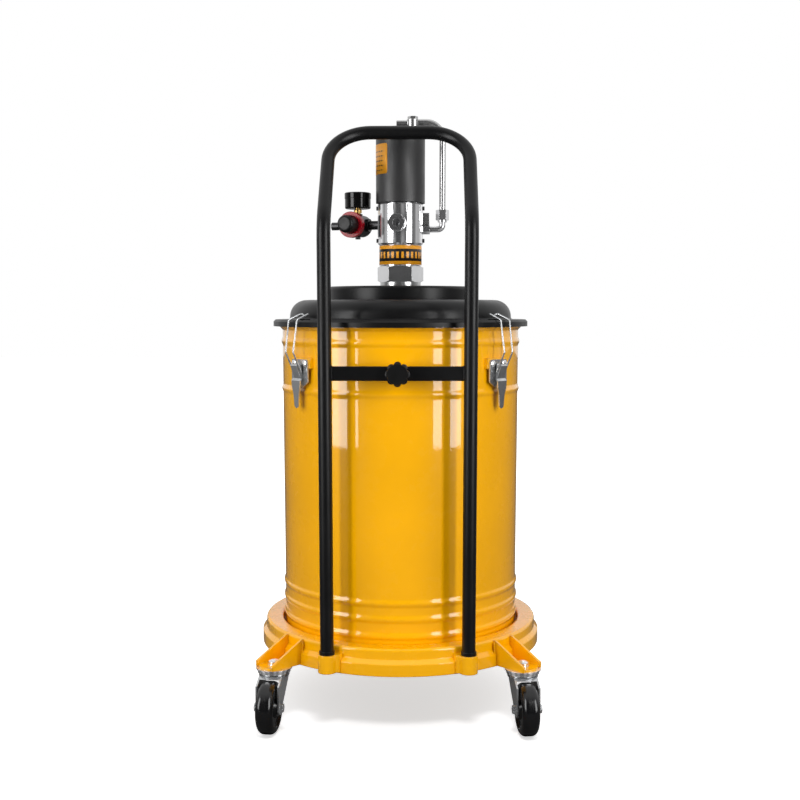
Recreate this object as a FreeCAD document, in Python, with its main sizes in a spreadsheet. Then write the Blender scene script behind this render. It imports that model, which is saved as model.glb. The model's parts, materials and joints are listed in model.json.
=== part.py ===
"""Air-operated drum pump for gear oil, on a four-caster dolly. Millimetres, +Z up.

The origin is on the floor, on the axis of the drum. The push handle stands on the -Y side.
Pieces that repeat around the drum are drawn on the +X side and then turned into place.
"""
import FreeCAD, Part
import math
import os
import Sketcher
from FreeCAD import Placement, Rotation, Vector

DIMENSIONS = {
    # drum
    "drum_radius": 180, "drum_wall": 1.2, "drum_foot": 90, "drum_foot_round": 3, "drum_rim_top": 578,
    "drum_curl_low": 568, "drum_curl_out": 4, "drum_curl_round": 2.5, "bead_depth": 1.9, "bead_half": 7,
    "bead_1": 134, "bead_2": 159, "bead_3": 182, "bead_4": 480, "bead_5": 551,
    # dolly ring, caster brackets and handle sockets
    "ring_inner": 184, "ring_rim": 210, "ring_flare": 216, "ring_top": 125, "ring_bottom": 87,
    "ring_step_low": 104, "ring_step_high": 110, "ring_sheet": 2.5, "ring_edge": 4, "ledge_inner": 150,
    "bracket_width": 40, "bracket_reach": 251, "bracket_sheet": 3, "bracket_low": 88, "gusset_top": 124,
    "gusset_flat": 213, "gusset_tip": 266, "gusset_tip_top": 96, "weld_root": 203,
    "socket_radius": 13, "socket_low": 89, "socket_high": 115, "socket_floor": 92, "socket_flare": 4,
    # casters
    "swivel_reach": 248.2, "swivel_turn": 43.9, "toe_out": 7, "trail": 32,
    "wheel_radius": 37.5, "wheel_half": 12.5, "wheel_edge": 8.5,
    "wheel_hub": 12, "wheel_rim": 27, "wheel_dish": 3, "fork_inner": 14.5, "fork_sheet": 2.5,
    "fork_top": 79.5, "fork_crown": 3, "fork_disc": 22, "fork_hub": 21, "fork_hub_top": 84.9,
    "fork_foot": 11, "race_radius": 26, "race_top": 88, "race_rim": 85.8, "race_plate": 85, "race_low": 81,
    "race_neck": 23.7, "race_bore": 21.7,
    "kingpin": 5, "kingpin_low": 73.4, "kingpin_head": 76.4, "kingpin_flange": 9, "kingpin_nut": 8,
    "kingpin_nut_top": 96, "kingpin_dome": 99, "axle": 4, "axle_half": 19.5, "axle_head": 6.5,
    "axle_head_high": 4, "running_gap": 0.05,
    # handle, crossbar and clamp
    "handle_x": 100, "handle_y": 200, "tube_radius": 9.5, "tube_bore": 8, "handle_bend_z": 714,
    "handle_top_y": 75, "handle_top_z": 850, "handle_corner": 59,
    "collar_radius": 11, "collar_high": 5, "crossbar_z": 511, "crossbar_half": 10, "crossbar_thick": 6,
    "crossbar_edge": 2, "knob_radius": 11.8, "knob_lobe": 5.2, "knob_lobes": 8, "knob_face": 224,
    "knob_back": 208, "knob_hub": 10, "knob_edge": 1.5, "stud": 4, "stud_end": 188, "stud_tip": 219,
    "boss_radius": 10, "boss_face": 196,
    # toggle latches
    "latch_turn": 50, "pad_half": 23, "pad_face": 184.5, "pad_low": 514, "pad_high": 529,
    "base_face": 186.5, "base_half": 20, "base_low": 485, "base_waist": 495, "base_high": 527,
    "base_tip": 3, "ear_inner": 2.8, "ear_sheet": 2, "ear_round": 2.9, "pivot_out": 192.3, "pivot_z": 518,
    "pivot_radius": 1.6, "screw_side": 13.3, "screw_z": 521, "screw_head": 5, "screw_high": 3,
    "screw_shank": 2.5, "screw_end": 181, "bail_out": 190.2, "bail_z": 508.5, "bail_wire": 1.3,
    "bail_side": 9.6, "bail_stub": 6, "bail_kink_out": 203.6, "bail_kink_z": 537.6, "bail_up_out": 197,
    "bail_up_z": 583.3, "bail_top_side": 10.4, "bail_corner_out": 175.5, "bail_corner_side": 9.4,
    "bail_corner_z": 592.2, "bail_hook_z": 587, "bail_bend": 3, "bail_stub_bend": 1.5,
    "lever_half": 8, "lever_sheet": 1.5,
    "lever_back": 4.2, "lever_front": 4.8, "lever_foot_out": 190.8, "lever_foot_z": 500, "blade_out": 193.8,
    "blade_z": 496.6, "blade_half": 10.7, "blade_waist_half": 6.4, "blade_tip_half": 5,
    "blade_tip_out": 192.8,
    "blade_tip_z": 457, "blade_thick": 2, "catch_in": 171.5, "catch_foot": 180, "catch_lip": 182.4,
    "catch_top": 585.5, "catch_half": 6, "catch_sheet": 1.5,
    # lid
    "lid_radius": 193.5, "lid_skirt": 573, "lid_top": 583, "lid_bevel": 3, "lid_sheet": 2,
    "dome_foot": 168.5, "dome_round": 25, "dome_top": 612, "dome_foot_z": 587, "lid_hole": 22,
    "disc_radius": 113, "disc_top": 632, "disc_edge": 5, "disc_sheet": 2.5, "gasket_inner": 176,
    "gasket_outer": 188, "gasket_high": 2.4,
    # pump stem
    "stem_radius": 19, "stem_bore": 16.5, "stem_foot": 108, "collar_top": 639, "stem_collar": 31,
    "spigot_radius": 27, "spigot_top": 662, "nut_low": 639, "nut_top": 663, "nut_corner": 34.8,
    "nut_chamfer": 2, "neck_radius": 32, "neck_top": 694, "oil_way": 12, "foot_valve_top": 148,
    "foot_inlet": 8, "foot_neck": 119, "foot_orifice": 5, "foot_seat": 124, "foot_cone": 128.5,
    "foot_chamber": 9.5, "foot_cage": 142.5,
    "ball_radius": 7, "ball_z": 128.95,
    # valve body and its screws
    "valve_radius": 34.7, "valve_top": 757, "valve_chamfer": 3, "seal_low": 737, "port_z": 726,
    "port_turn": 7, "port_root": 31, "port_boss": 13, "port_boss_out": 39, "port_hex": 13.6,
    "port_hex_out": 46, "port_bore": 5.9, "side_screw": 3, "side_screw_out": 36.6,
    "side_screw_turn": 8, "side_screw_low": 701, "side_screw_high": 749,
    # air motor
    "sleeve_radius": 37, "sleeve_bore": 34.5, "cap_low": 858, "cap_edge": 862, "cap_top": 866,
    "cap_spigot": 34, "cap_round": 1.5, "piston_low": 760, "piston_high": 774, "rod_radius": 7,
    "rod_low": 186, "plunger_low": 180, "plunger_high": 208, "breather_x": 2, "breather_radius": 4,
    # air pipe on the right
    "pipe_x": 63.4, "pipe_radius": 4.8, "pipe_bore": 3.6, "pipe_bend": 24, "pipe_z": 876,
    "pipe_low": 735, "pipe_nut_low": 732, "pipe_nut_top": 747, "pipe_nut_corner": 10, "elbow_z": 718.5,
    "elbow_radius": 4.8, "elbow_bend": 7, "elbow_hex": 7.6, "elbow_hex_in": 33, "elbow_hex_out": 44.5,
    "elbow_collar": 6.2, "pilot_in": 32, "pilot_out": 43.5, "pilot_low": 725, "pilot_high": 742,
    "pilot_half": 9, "fitting_x": 18.5, "fitting_hex": 7.8, "fitting_top": 884.5, "fitting_round": 9,
    "fitting_round_top": 880, "bleed_radius": 4.2, "bleed_out": 6, "bleed_z": 875,
    # regulator, drawn along -X from the pump axis and then turned
    "regulator_turn": 20, "regulator_x": 70.2, "regulator_z": 725.5, "regulator_radius": 16.5,
    "regulator_back": 18, "regulator_front": 20, "regulator_port": 10, "regulator_port_out": 20,
    "nipple_radius": 6.7, "nipple_in": 33, "inlet_radius": 6, "inlet_neck": 4.4, "inlet_end": 113,
    "inlet_neck_end": 101, "ring_nut_radius": 19.5, "ring_nut_out": 29, "cap_knob_radius": 14,
    "cap_knob_back": 11, "cap_knob_out": 52, "grip_count": 24, "grip_radius": 0.9, "drain_radius": 4,
    "drain_low": 705, "stem_hex": 5.2, "gauge_stem": 4.5, "gauge_low": 751, "gauge_top": 775,
    "gauge_radius": 19.8, "gauge_bezel": 20.3, "gauge_bezel_low": 766, "gauge_wall": 1.6,
    "gauge_lens_low": 771.2, "gauge_lens_top": 773.2, "dial_low": 765, "dial_top": 766,
    "dial_radius": 18, "pointer_low": 767, "pointer_top": 767.6, "pointer_length": 14,
    "pointer_tail": 5, "pointer_half": 0.9, "pointer_hub": 2.2,
}

SMALL = 0.2
NEARLY_HALF = 1.02
FULL_TURN = 360.0
QUARTER_TURN = 90.0


class Size:
    """A length that knows both its number and the sheet expression that drives it."""

    def __init__(self, value, text):
        self.value = float(value)
        self.text = text

    def _with(self, other, sign, value):
        return Size(value, "(%s %s %s)" % (self.text, sign, words(other)))

    def __add__(self, other):
        return self._with(other, "+", self.value + number(other))

    def __sub__(self, other):
        return self._with(other, "-", self.value - number(other))

    def __mul__(self, other):
        return self._with(other, "*", self.value * number(other))

    def __truediv__(self, other):
        return self._with(other, "/", self.value / number(other))

    def __neg__(self):
        return Size(-self.value, "(0 - %s)" % self.text)


def number(size):
    """The plain value of a Size or a number."""
    return size.value if isinstance(size, Size) else float(size)


def words(size):
    """The text that stands for a Size or a number in an expression."""
    return size.text if isinstance(size, Size) else repr(float(size))


def span(low, high):
    """The length from low to high, each a Size or a plain number."""
    if isinstance(high, Size) or not isinstance(low, Size):
        return high - low
    return -(low - high)


def dome(radius, rise):
    """Radius of the sphere whose cap has this base radius and rise."""
    return (radius * radius + rise * rise) / (rise * 2)


class Dimensions:
    """Reads one cell of the sheet by its alias, as a Size."""

    def __init__(self, sheet):
        self.sheet = sheet

    def __getattr__(self, alias):
        return Size(self.sheet.get(alias), "Sizes.%s" % alias)


def make_sheet():
    """The spreadsheet that holds every dimension under its own alias."""
    sheet = doc.addObject("Spreadsheet::Sheet", "Sizes")
    for row, (alias, value) in enumerate(DIMENSIONS.items(), start=1):
        sheet.set("A%d" % row, alias)
        sheet.set("B%d" % row, str(value))
        sheet.setAlias("B%d" % row, alias)
    doc.recompute()
    return sheet


def bind(thing, prop, size):
    """Set a property and tie it to the sheet."""
    if isinstance(size, Size):
        thing.setExpression(prop, size.text)
    setattr(thing, prop, number(size))


# ---------------------------------------------------------------- sketching
def new_body(label):
    """An empty body that may hold several separate solids."""
    body = doc.addObject("PartDesign::Body", label)
    body.Label = label
    body.AllowCompound = True
    return body


def sketch_on(body, role, name, offset=0):
    """A sketch on one of the body's own origin planes, moved along its normal by offset."""
    plane = next(item for item in body.Origin.OriginFeatures if item.Role == role)
    sketch = body.newObject("Sketcher::SketchObject", body.Label + "_" + name)
    sketch.AttachmentSupport = [(plane, "")]
    sketch.MapMode = "FlatFace"
    sketch.AttachmentOffset = Placement(Vector(0, 0, number(offset)), Rotation())
    if isinstance(offset, Size):
        sketch.setExpression("AttachmentOffset.Base.z", offset.text)
    return sketch


def arc_between(start, end, radius):
    """The short arc from start to end; a positive radius turns left, a negative one right."""
    chord = end.sub(start)
    middle = start.add(end).multiply(0.5)
    rise = math.sqrt(max(radius * radius - chord.Length * chord.Length / 4.0, 0.0))
    normal = Vector(-chord.y, chord.x, 0).normalize()
    side = 1.0 if radius > 0 else -1.0
    centre = middle.add(normal.multiply(rise * side))
    first, last = (start, end) if radius > 0 else (end, start)
    angles = [math.atan2(point.y - centre.y, point.x - centre.x) for point in (first, last)]
    circle = Part.Circle(centre, Vector(0, 0, 1), abs(radius))
    return Part.ArcOfCircle(circle, angles[0], angles[1])


def outline(sketch, points):
    """Close a loop through points; a third entry is the radius of the arc that ends there."""
    places = [Vector(number(point[0]), number(point[1]), 0) for point in points]
    base = sketch.GeometryCount
    ends = []
    for index, point in enumerate(points):
        start, end = places[index - 1], places[index]
        if len(point) == 3:
            radius = number(point[2])
            sketch.addGeometry(arc_between(start, end, radius), False)
            ends.append((1, 2) if radius > 0 else (2, 1))
        else:
            sketch.addGeometry(Part.LineSegment(start, end), False)
            ends.append((1, 2))
    for index, point in enumerate(points):
        following = (index + 1) % len(points)
        here, there = base + index, base + following
        sketch.addConstraint(Sketcher.Constraint(
            "Coincident", here, ends[index][1], there, ends[following][0]))
        fix_point(sketch, here, ends[index][1], point)
        if len(point) == 3:
            radius = point[2] if number(point[2]) > 0 else -point[2]
            constrain(sketch, Sketcher.Constraint("Radius", here, number(radius)), radius)


def fix_point(sketch, geometry, end, point):
    """Hold one point at its two coordinates, measured from the sketch's origin."""
    for kind, axis, size in (("DistanceX", -2, point[0]), ("DistanceY", -1, point[1])):
        if number(size) == 0:
            sketch.addConstraint(Sketcher.Constraint("PointOnObject", geometry, end, axis))
        else:
            fixed = Sketcher.Constraint(kind, -1, 1, geometry, end, number(size))
            constrain(sketch, fixed, size)


def constrain(sketch, constraint, size):
    """Add a constraint and tie it to the sheet if its size comes from there."""
    index = sketch.addConstraint(constraint)
    if isinstance(size, Size):
        sketch.setExpression("Constraints[%d]" % index, size.text)


def ring(sketch, x, y, radius):
    """A full circle at x, y."""
    geometry = sketch.GeometryCount
    centre = Vector(number(x), number(y), 0)
    sketch.addGeometry(Part.Circle(centre, Vector(0, 0, 1), number(radius)), False)
    fix_point(sketch, geometry, 3, (x, y))
    constrain(sketch, Sketcher.Constraint("Radius", geometry, number(radius)), radius)


def rectangle(sketch, left, low, right, high):
    """Closed rectangle between two corners."""
    outline(sketch, [(left, low), (right, low), (right, high), (left, high)])


# ---------------------------------------------------------------- features
def revolve(body, sketch, kind="Revolution"):
    """Turn a sketch a full turn about its vertical axis, to add or to cut."""
    feature = body.newObject("PartDesign::" + kind, sketch.Label + "_turned")
    feature.Profile = sketch
    feature.ReferenceAxis = (sketch, ["V_Axis"])
    feature.Angle = FULL_TURN
    return feature


def pad(body, sketch, length, both=False, kind="Pad", backwards=False):
    """Extend a sketch along its normal, to add or to cut."""
    feature = body.newObject("PartDesign::" + kind, sketch.Label + "_" + kind.lower())
    feature.Profile = sketch
    feature.SideType = "Symmetric" if both else "One side"
    feature.Reversed = backwards
    bind(feature, "Length", length)
    return feature


def through(body, sketch):
    """Cut a sketch right through the body, both ways."""
    feature = body.newObject("PartDesign::Pocket", sketch.Label + "_cut")
    feature.Profile = sketch
    feature.SideType = "Symmetric"
    feature.Type = "ThroughAll"
    return feature


def polar(body, features, count):
    """Repeat features evenly around the axis their sketch faces."""
    pattern = body.newObject("PartDesign::PolarPattern", body.Label + "_pattern")
    pattern.Originals = features
    pattern.Axis = (features[0].Profile[0], ["N_Axis"])
    pattern.Angle = FULL_TURN
    pattern.Occurrences = int(number(count))
    body.Tip = pattern
    return pattern


def turned(label, points, placement=None):
    """A lathe-turned piece: a section in radius and height, revolved about Z."""
    body = new_body(label)
    sketch = sketch_on(body, "XZ_Plane", "section")
    outline(sketch, points)
    revolve(body, sketch)
    if placement:
        body.Placement = placement
    return body


# ---------------------------------------------------------------- primitives
def rod(name, radius, low, high, across=(0, 0), facing=Vector(0, 0, 1)):
    """A cylinder along facing from low to high, its axis through across in the other two axes."""
    piece = doc.addObject("Part::Cylinder", name)
    bind(piece, "Radius", radius)
    bind(piece, "Height", span(low, high))
    piece.Placement = axis_placement(facing, low, across)
    return piece


def hexagon(name, corner, low, high, across=(0, 0), facing=Vector(0, 0, 1)):
    """Hexagonal bar from low to high along the facing direction."""
    piece = doc.addObject("Part::Prism", name)
    piece.Polygon = 6
    bind(piece, "Circumradius", corner)
    bind(piece, "Height", span(low, high))
    piece.Placement = axis_placement(facing, low, across)
    return piece


def axis_placement(facing, along, across):
    """Stand a Z-built piece along facing; across holds its offsets in X and Y before turning."""
    turn = Rotation(Vector(0, 0, 1), facing)
    start = Vector(number(across[0]), number(across[1]), 0)
    return Placement(start.add(Vector(facing).multiply(number(along))), turn)


def block(name, low, high):
    """Rectangular block between two opposite corners."""
    piece = doc.addObject("Part::Box", name)
    for prop, first, last in zip(("Length", "Width", "Height"), low, high):
        bind(piece, prop, span(first, last))
    piece.Placement.Base = Vector(*[number(value) for value in low])
    return piece


def fused(label, shapes):
    """Join shapes into one solid."""
    piece = doc.addObject("Part::MultiFuse", label)
    piece.Shapes = shapes
    piece.Label = label
    return piece


def cut(label, base, tool):
    """Take one shape away from another."""
    piece = doc.addObject("Part::Cut", label)
    piece.Base = base
    piece.Tool = tool
    piece.Label = label
    return piece


def grouped(label, shapes):
    """Keep several solids together as one sub-part."""
    piece = doc.addObject("Part::Compound", label)
    piece.Links = shapes
    piece.Label = label
    return piece


def about_z(degrees):
    """Placement that turns a shape about the drum's axis."""
    return Placement(Vector(0, 0, 0), Rotation(Vector(0, 0, 1), degrees))


def rounded_path(points, bends):
    """Straight runs through points, each inner corner rounded to its own radius."""
    edges = []
    here = points[0]
    for before, corner, after, radius in zip(points, points[1:], points[2:], bends):
        back = before.sub(corner).normalize()
        ahead = after.sub(corner).normalize()
        half = back.getAngle(ahead) / 2.0
        reach = radius / math.tan(half)
        start = corner.add(Vector(back).multiply(reach))
        end = corner.add(Vector(ahead).multiply(reach))
        inward = back.add(ahead).normalize()
        centre = corner.add(Vector(inward).multiply(radius / math.sin(half)))
        top = centre.sub(inward.multiply(radius))
        edges.append(Part.LineSegment(here, start).toShape())
        edges.append(Part.Arc(start, top, end).toShape())
        here = end
    edges.append(Part.LineSegment(here, points[-1]).toShape())
    return Part.Wire(edges)


def same_bends(points, word):
    """One bend radius for every inner corner of a path."""
    return [DIMENSIONS[word]] * (len(points) - 2)


def mirrored(piece):
    """The same piece on the other side of the dolly."""
    other = doc.addObject("Part::Mirroring", piece.Label + "_mirrored")
    other.Source = piece
    other.Normal = Vector(1, 0, 0)
    return other


def swept(name, path, radius, start, facing):
    """A round section carried along a path."""
    spine = doc.addObject("Part::Feature", name + "_path")
    spine.Shape = path
    section = doc.addObject("Part::Circle", name + "_section")
    bind(section, "Radius", radius)
    section.Placement = Placement(start, Rotation(Vector(0, 0, 1), facing))
    sweep = doc.addObject("Part::Sweep", name)
    sweep.Sections = [section]
    sweep.Spine = (spine, ["Edge%d" % (index + 1) for index in range(len(path.Edges))])
    sweep.Solid = True
    sweep.Frenet = False
    sweep.Label = name
    return sweep


# ---------------------------------------------------------------- dolly
def dolly_ring():
    """Pressed ring with a rounded rim, a stepped outer skirt and an inner ledge for the drum."""
    sheet, edge = D.ring_sheet, D.ring_edge
    inner, rim, flare, top = D.ring_inner, D.ring_rim, D.ring_flare, D.ring_top
    blank = turned("dolly_ring_blank", [
        (flare, D.ring_bottom), (flare, D.ring_step_low), (rim, D.ring_step_high),
        (rim, top - edge), (rim - edge, top, edge), (inner + edge, top), (inner, top - edge, edge),
        (inner, D.drum_foot), (D.ledge_inner, D.drum_foot), (D.ledge_inner, D.drum_foot - sheet),
        (inner + sheet, D.drum_foot - sheet), (inner + sheet, top - edge),
        (inner + edge, top - sheet, sheet - edge), (rim - edge, top - sheet),
        (rim - sheet, top - edge, sheet - edge), (rim - sheet, D.ring_step_high - sheet / 2),
        (flare - sheet, D.ring_step_low - sheet / 2), (flare - sheet, D.ring_bottom)])
    notch = rod("handle_notch", D.tube_radius + D.running_gap, D.socket_floor, D.socket_high,
                (D.handle_x, -D.handle_y))
    cut("dolly_ring", blank, fused("handle_notches", [notch, mirrored(notch)]))


def ring_outside(sketch):
    """The ring's outside outline, closed on its axis side, to trim what is welded to it."""
    outline(sketch, [
        (D.ledge_inner, D.ring_bottom - 10), (D.ring_flare, D.ring_bottom - 10),
        (D.ring_flare, D.ring_step_low), (D.ring_rim, D.ring_step_high),
        (D.ring_rim, D.ring_top + 10), (D.ledge_inner, D.ring_top + 10)])


def caster_brackets():
    """Four channels: a round-ended floor plate between two gussets that slope down from the ring."""
    body = new_body("caster_bracket_pair")
    half, sheet = D.bracket_width / 2, D.bracket_sheet
    floor = sketch_on(body, "XY_Plane", "floor", D.bracket_low)
    outline(floor, [(D.weld_root, -half), (D.bracket_reach, -half), (D.bracket_reach + half, 0, half),
                    (D.bracket_reach, half, half), (D.weld_root, half)])
    parts = [pad(body, floor, sheet)]
    for name, side in (("left", D.bracket_width / 2 - sheet), ("right", -half)):
        gusset = sketch_on(body, "XZ_Plane", "gusset_" + name, side)
        outline(gusset, [(D.weld_root, D.bracket_low), (D.gusset_tip, D.bracket_low),
                         (D.gusset_tip, D.gusset_tip_top), (D.gusset_flat, D.gusset_top),
                         (D.weld_root, D.gusset_top)])
        parts.append(pad(body, gusset, sheet))
    hole = sketch_on(body, "XY_Plane", "hole", D.bracket_low)
    ring(hole, D.swivel_reach, 0, D.kingpin + SMALL)
    parts.append(pad(body, hole, sheet * 2, both=True, kind="Pocket"))
    polar(body, parts, 2)
    trim = sketch_on(body, "XZ_Plane", "trim")
    ring_outside(trim)
    body.Tip = revolve(body, trim, "Groove")
    body.Placement = about_z(DIMENSIONS["swivel_turn"])
    body.Label = "caster_bracket_pair"
    grouped("caster_brackets", [body, mirrored(body)])


def handle_sockets():
    """Two sheet sockets, wrapped around the handle's feet and flared into the ring."""
    body = new_body("handle_socket")
    reach = math.hypot(DIMENSIONS["handle_x"], DIMENSIONS["handle_y"])
    out = D.handle_x * (reach / DIMENSIONS["handle_x"])
    wall, flare = D.socket_radius, D.socket_flare
    turn = math.degrees(math.atan2(-DIMENSIONS["handle_y"], DIMENSIONS["handle_x"]))
    wrap = sketch_on(body, "XY_Plane", "wrap", D.socket_low)
    outline(wrap, [(D.weld_root, -wall - flare), (out - flare, -wall - flare), (out, -wall, -flare),
                   (out + wall, 0, wall), (out, wall, wall), (out - flare, wall + flare, -flare),
                   (D.weld_root, wall + flare)])
    bore = sketch_on(body, "XY_Plane", "bore", D.socket_floor)
    ring(bore, out, 0, D.tube_radius)
    trim = sketch_on(body, "XZ_Plane", "trim")
    ring_outside(trim)
    pad(body, wrap, D.socket_high - D.socket_low)
    doc.recompute()
    pad(body, bore, D.socket_high - D.socket_low, kind="Pocket", backwards=True)
    revolve(body, trim, "Groove")
    body.Placement = about_z(turn)
    grouped("handle_sockets", [body, mirrored(body)])


# ---------------------------------------------------------------- casters
def caster_places():
    """Name, swivel centre and heading of each caster; the wheels trail outward, front and rear alike."""
    reach, turn = DIMENSIONS["swivel_reach"], math.radians(DIMENSIONS["swivel_turn"])
    spots = (("front_left", -1, -1), ("front_right", 1, -1), ("rear_left", -1, 1), ("rear_right", 1, 1))
    for name, side, end in spots:
        centre = Vector(side * reach * math.cos(turn), end * reach * math.sin(turn), 0)
        yield name, centre, end * (QUARTER_TURN - DIMENSIONS["toe_out"] * side)


def caster_races():
    """Plates pressed around the swivel discs, one on each bracket."""
    pieces = []
    for name, centre, heading in caster_places():
        body = turned("caster_race_" + name, [
            (D.kingpin + SMALL, D.race_plate), (D.race_bore, D.race_plate), (D.race_bore, D.race_low),
            (D.race_neck, D.race_low), (D.race_neck, D.race_rim), (D.race_radius, D.race_rim),
            (D.race_radius, D.race_top), (D.kingpin + SMALL, D.race_top)])
        body.Placement.Base = centre
        pieces.append(body)
    return pieces


def caster_bolts():
    """Kingpins: a flat head below the fork, a shank and a domed nut above the bracket."""
    pieces = []
    for name, centre, heading in caster_places():
        base = D.bracket_low + D.bracket_sheet
        body = turned("caster_bolt_" + name, [
            (0, D.kingpin_low), (D.kingpin_flange, D.kingpin_low), (D.kingpin_flange, D.kingpin_head),
            (D.kingpin, D.kingpin_head), (D.kingpin, base), (D.kingpin_nut + 1, base),
            (D.kingpin_nut + 1, base + 1), (D.kingpin_nut, base + 1), (D.kingpin_nut, D.kingpin_nut_top),
            (0, D.kingpin_dome, dome(D.kingpin_nut, D.kingpin_dome - D.kingpin_nut_top))])
        body.Placement.Base = centre
        pieces.append(body)
    return pieces


def caster_fork(name, placement):
    """Pressed fork: two legs under a crown plate and a turned swivel disc on top."""
    body = new_body("caster_fork_" + name)
    low = D.fork_top - D.fork_crown
    side = sketch_on(body, "XZ_Plane", "side")
    foot = D.fork_foot
    back = -D.fork_hub + 4
    outline(side, [(back, D.fork_top), (back, low - 8), (D.trail - foot, D.wheel_radius),
                   (D.trail + foot, D.wheel_radius, foot * NEARLY_HALF), (D.trail + foot - 2, low - 6),
                   (D.fork_disc, D.fork_top)])
    pad(body, side, (D.fork_inner + D.fork_sheet) * 2, both=True)
    gap = sketch_on(body, "XZ_Plane", "gap")
    rectangle(gap, -D.fork_disc * 2, 0, D.trail * 2, low)
    doc.recompute()
    pad(body, gap, D.fork_inner * 2, both=True, kind="Pocket")
    crown = sketch_on(body, "XY_Plane", "crown", low)
    ring(crown, 0, 0, D.fork_disc)
    pad(body, crown, D.fork_crown)
    hub = sketch_on(body, "XY_Plane", "hub", low)
    ring(hub, 0, 0, D.fork_hub)
    pad(body, hub, D.fork_hub_top - low)
    doc.recompute()
    kingpin = sketch_on(body, "XY_Plane", "kingpin", low)
    ring(kingpin, 0, 0, D.kingpin + D.running_gap)
    through(body, kingpin)
    axle = sketch_on(body, "XZ_Plane", "axle")
    ring(axle, D.trail, D.wheel_radius, D.axle)
    through(body, axle)
    body.Placement = placement


def caster_wheel(name, placement):
    """Moulded wheel: rounded tread, dished web and a hub, lying about its own axis."""
    half, edge, dish = D.wheel_half, D.wheel_edge, D.wheel_dish
    bore, rim, outer = D.axle + D.running_gap, D.wheel_rim, D.wheel_radius
    section = [(bore, -half - 1), (D.wheel_hub, -half - 1), (D.wheel_hub + 2, -half + dish),
               (rim - 2, -half + dish), (rim, -half), (outer - edge, -half), (outer, -half + edge, edge),
               (outer, half - edge), (outer - edge, half, edge), (rim, half), (rim - 2, half - dish),
               (D.wheel_hub + 2, half - dish), (D.wheel_hub, half + 1), (bore, half + 1)]
    lying = Placement(Vector(DIMENSIONS["trail"], 0, DIMENSIONS["wheel_radius"]),
                      Rotation(Vector(1, 0, 0), 90))
    turned("caster_wheel_" + name, section, placement.multiply(lying))


def caster_axle(name, placement):
    """Axle bolt with a hexagon head on one side and a nut on the other."""
    facing, spot = Vector(0, -1, 0), (D.trail, 0)
    outer = D.fork_inner + D.fork_sheet
    shank = rod("axle_shank_" + name, D.axle, -D.axle_half - 2, D.axle_half, spot, facing)
    head = hexagon("axle_head_" + name, D.axle_head, outer, outer + D.axle_head_high, spot, facing)
    nut = hexagon("axle_nut_" + name, D.axle_head, -outer - D.axle_head_high, -outer, spot, facing)
    piece = fused("caster_axle_" + name, [shank, head, nut])
    lift = Placement(Vector(0, 0, DIMENSIONS["wheel_radius"]), Rotation())
    piece.Placement = placement.multiply(lift)


def casters():
    """The four swivel casters: races, bolts, forks, axles and wheels."""
    grouped("caster_mounts", caster_races() + caster_bolts())
    for name, centre, heading in caster_places():
        placement = Placement(centre, Rotation(Vector(0, 0, 1), heading))
        caster_fork(name, placement)
        caster_wheel(name, placement)
        caster_axle(name, placement)


# ---------------------------------------------------------------- handle
def handle_path(start_z):
    """Up one leg, back over the lean, across the top and down the other leg."""
    side, front = DIMENSIONS["handle_x"], -DIMENSIONS["handle_y"]
    top_y, top_z = -DIMENSIONS["handle_top_y"], DIMENSIONS["handle_top_z"]
    bend_z = DIMENSIONS["handle_bend_z"]
    points = [Vector(-side, front, start_z), Vector(-side, front, bend_z), Vector(-side, top_y, top_z),
              Vector(side, top_y, top_z), Vector(side, front, bend_z), Vector(side, front, start_z)]
    return rounded_path(points, same_bends(points, "handle_corner")), points[0]


def handle_tube():
    """Bent tube of the push handle, with a collar on each leg just above its socket."""
    path, start = handle_path(DIMENSIONS["socket_floor"])
    up = Vector(0, 0, 1)
    outside = swept("handle_outside", path, D.tube_radius, start, up)
    inside = swept("handle_inside", path, D.tube_bore, start, up)
    hollow = cut("handle_hollow", outside, inside)
    collars = []
    for side in (-1, 1):
        spot = (D.handle_x * side, -D.handle_y)
        top = D.socket_high + D.collar_high
        outer = rod("collar_outer", D.collar_radius, D.socket_high, top, spot)
        inner = rod("collar_inner", D.tube_bore, D.socket_high, top, spot)
        collars.append(cut("collar", outer, inner))
    fused("handle_tube", [hollow] + collars)


def handle_crossbar():
    """Flat bar between the legs, coped to the tubes, with a clearance hole for the clamp stud."""
    half, high, edge = D.crossbar_thick / 2, D.crossbar_half, D.crossbar_edge
    body = new_body("crossbar_blank")
    section = sketch_on(body, "YZ_Plane", "section")
    front, back = -D.handle_y - half, -D.handle_y + half
    low, top = D.crossbar_z - high, D.crossbar_z + high
    outline(section, [(front + edge, low, edge), (back - edge, low), (back, low + edge, edge),
                      (back, top - edge), (back - edge, top, edge), (front + edge, top),
                      (front, top - edge, edge), (front, low + edge)])
    pad(body, section, D.handle_x * 2, both=True)
    tools = []
    for side in (-1, 1):
        spot = (D.handle_x * side, -D.handle_y)
        tools.append(rod("cope", D.tube_radius, low - 1, top + 1, spot))
    facing = Vector(0, -1, 0)
    hole = rod("stud_hole", D.stud + 1, D.handle_y - 10, D.handle_y + 10, (0, 0), facing)
    hole.Placement.Base.z = DIMENSIONS["crossbar_z"]
    cut("handle_crossbar", body, fused("crossbar_cuts", tools + [hole]))


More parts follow.
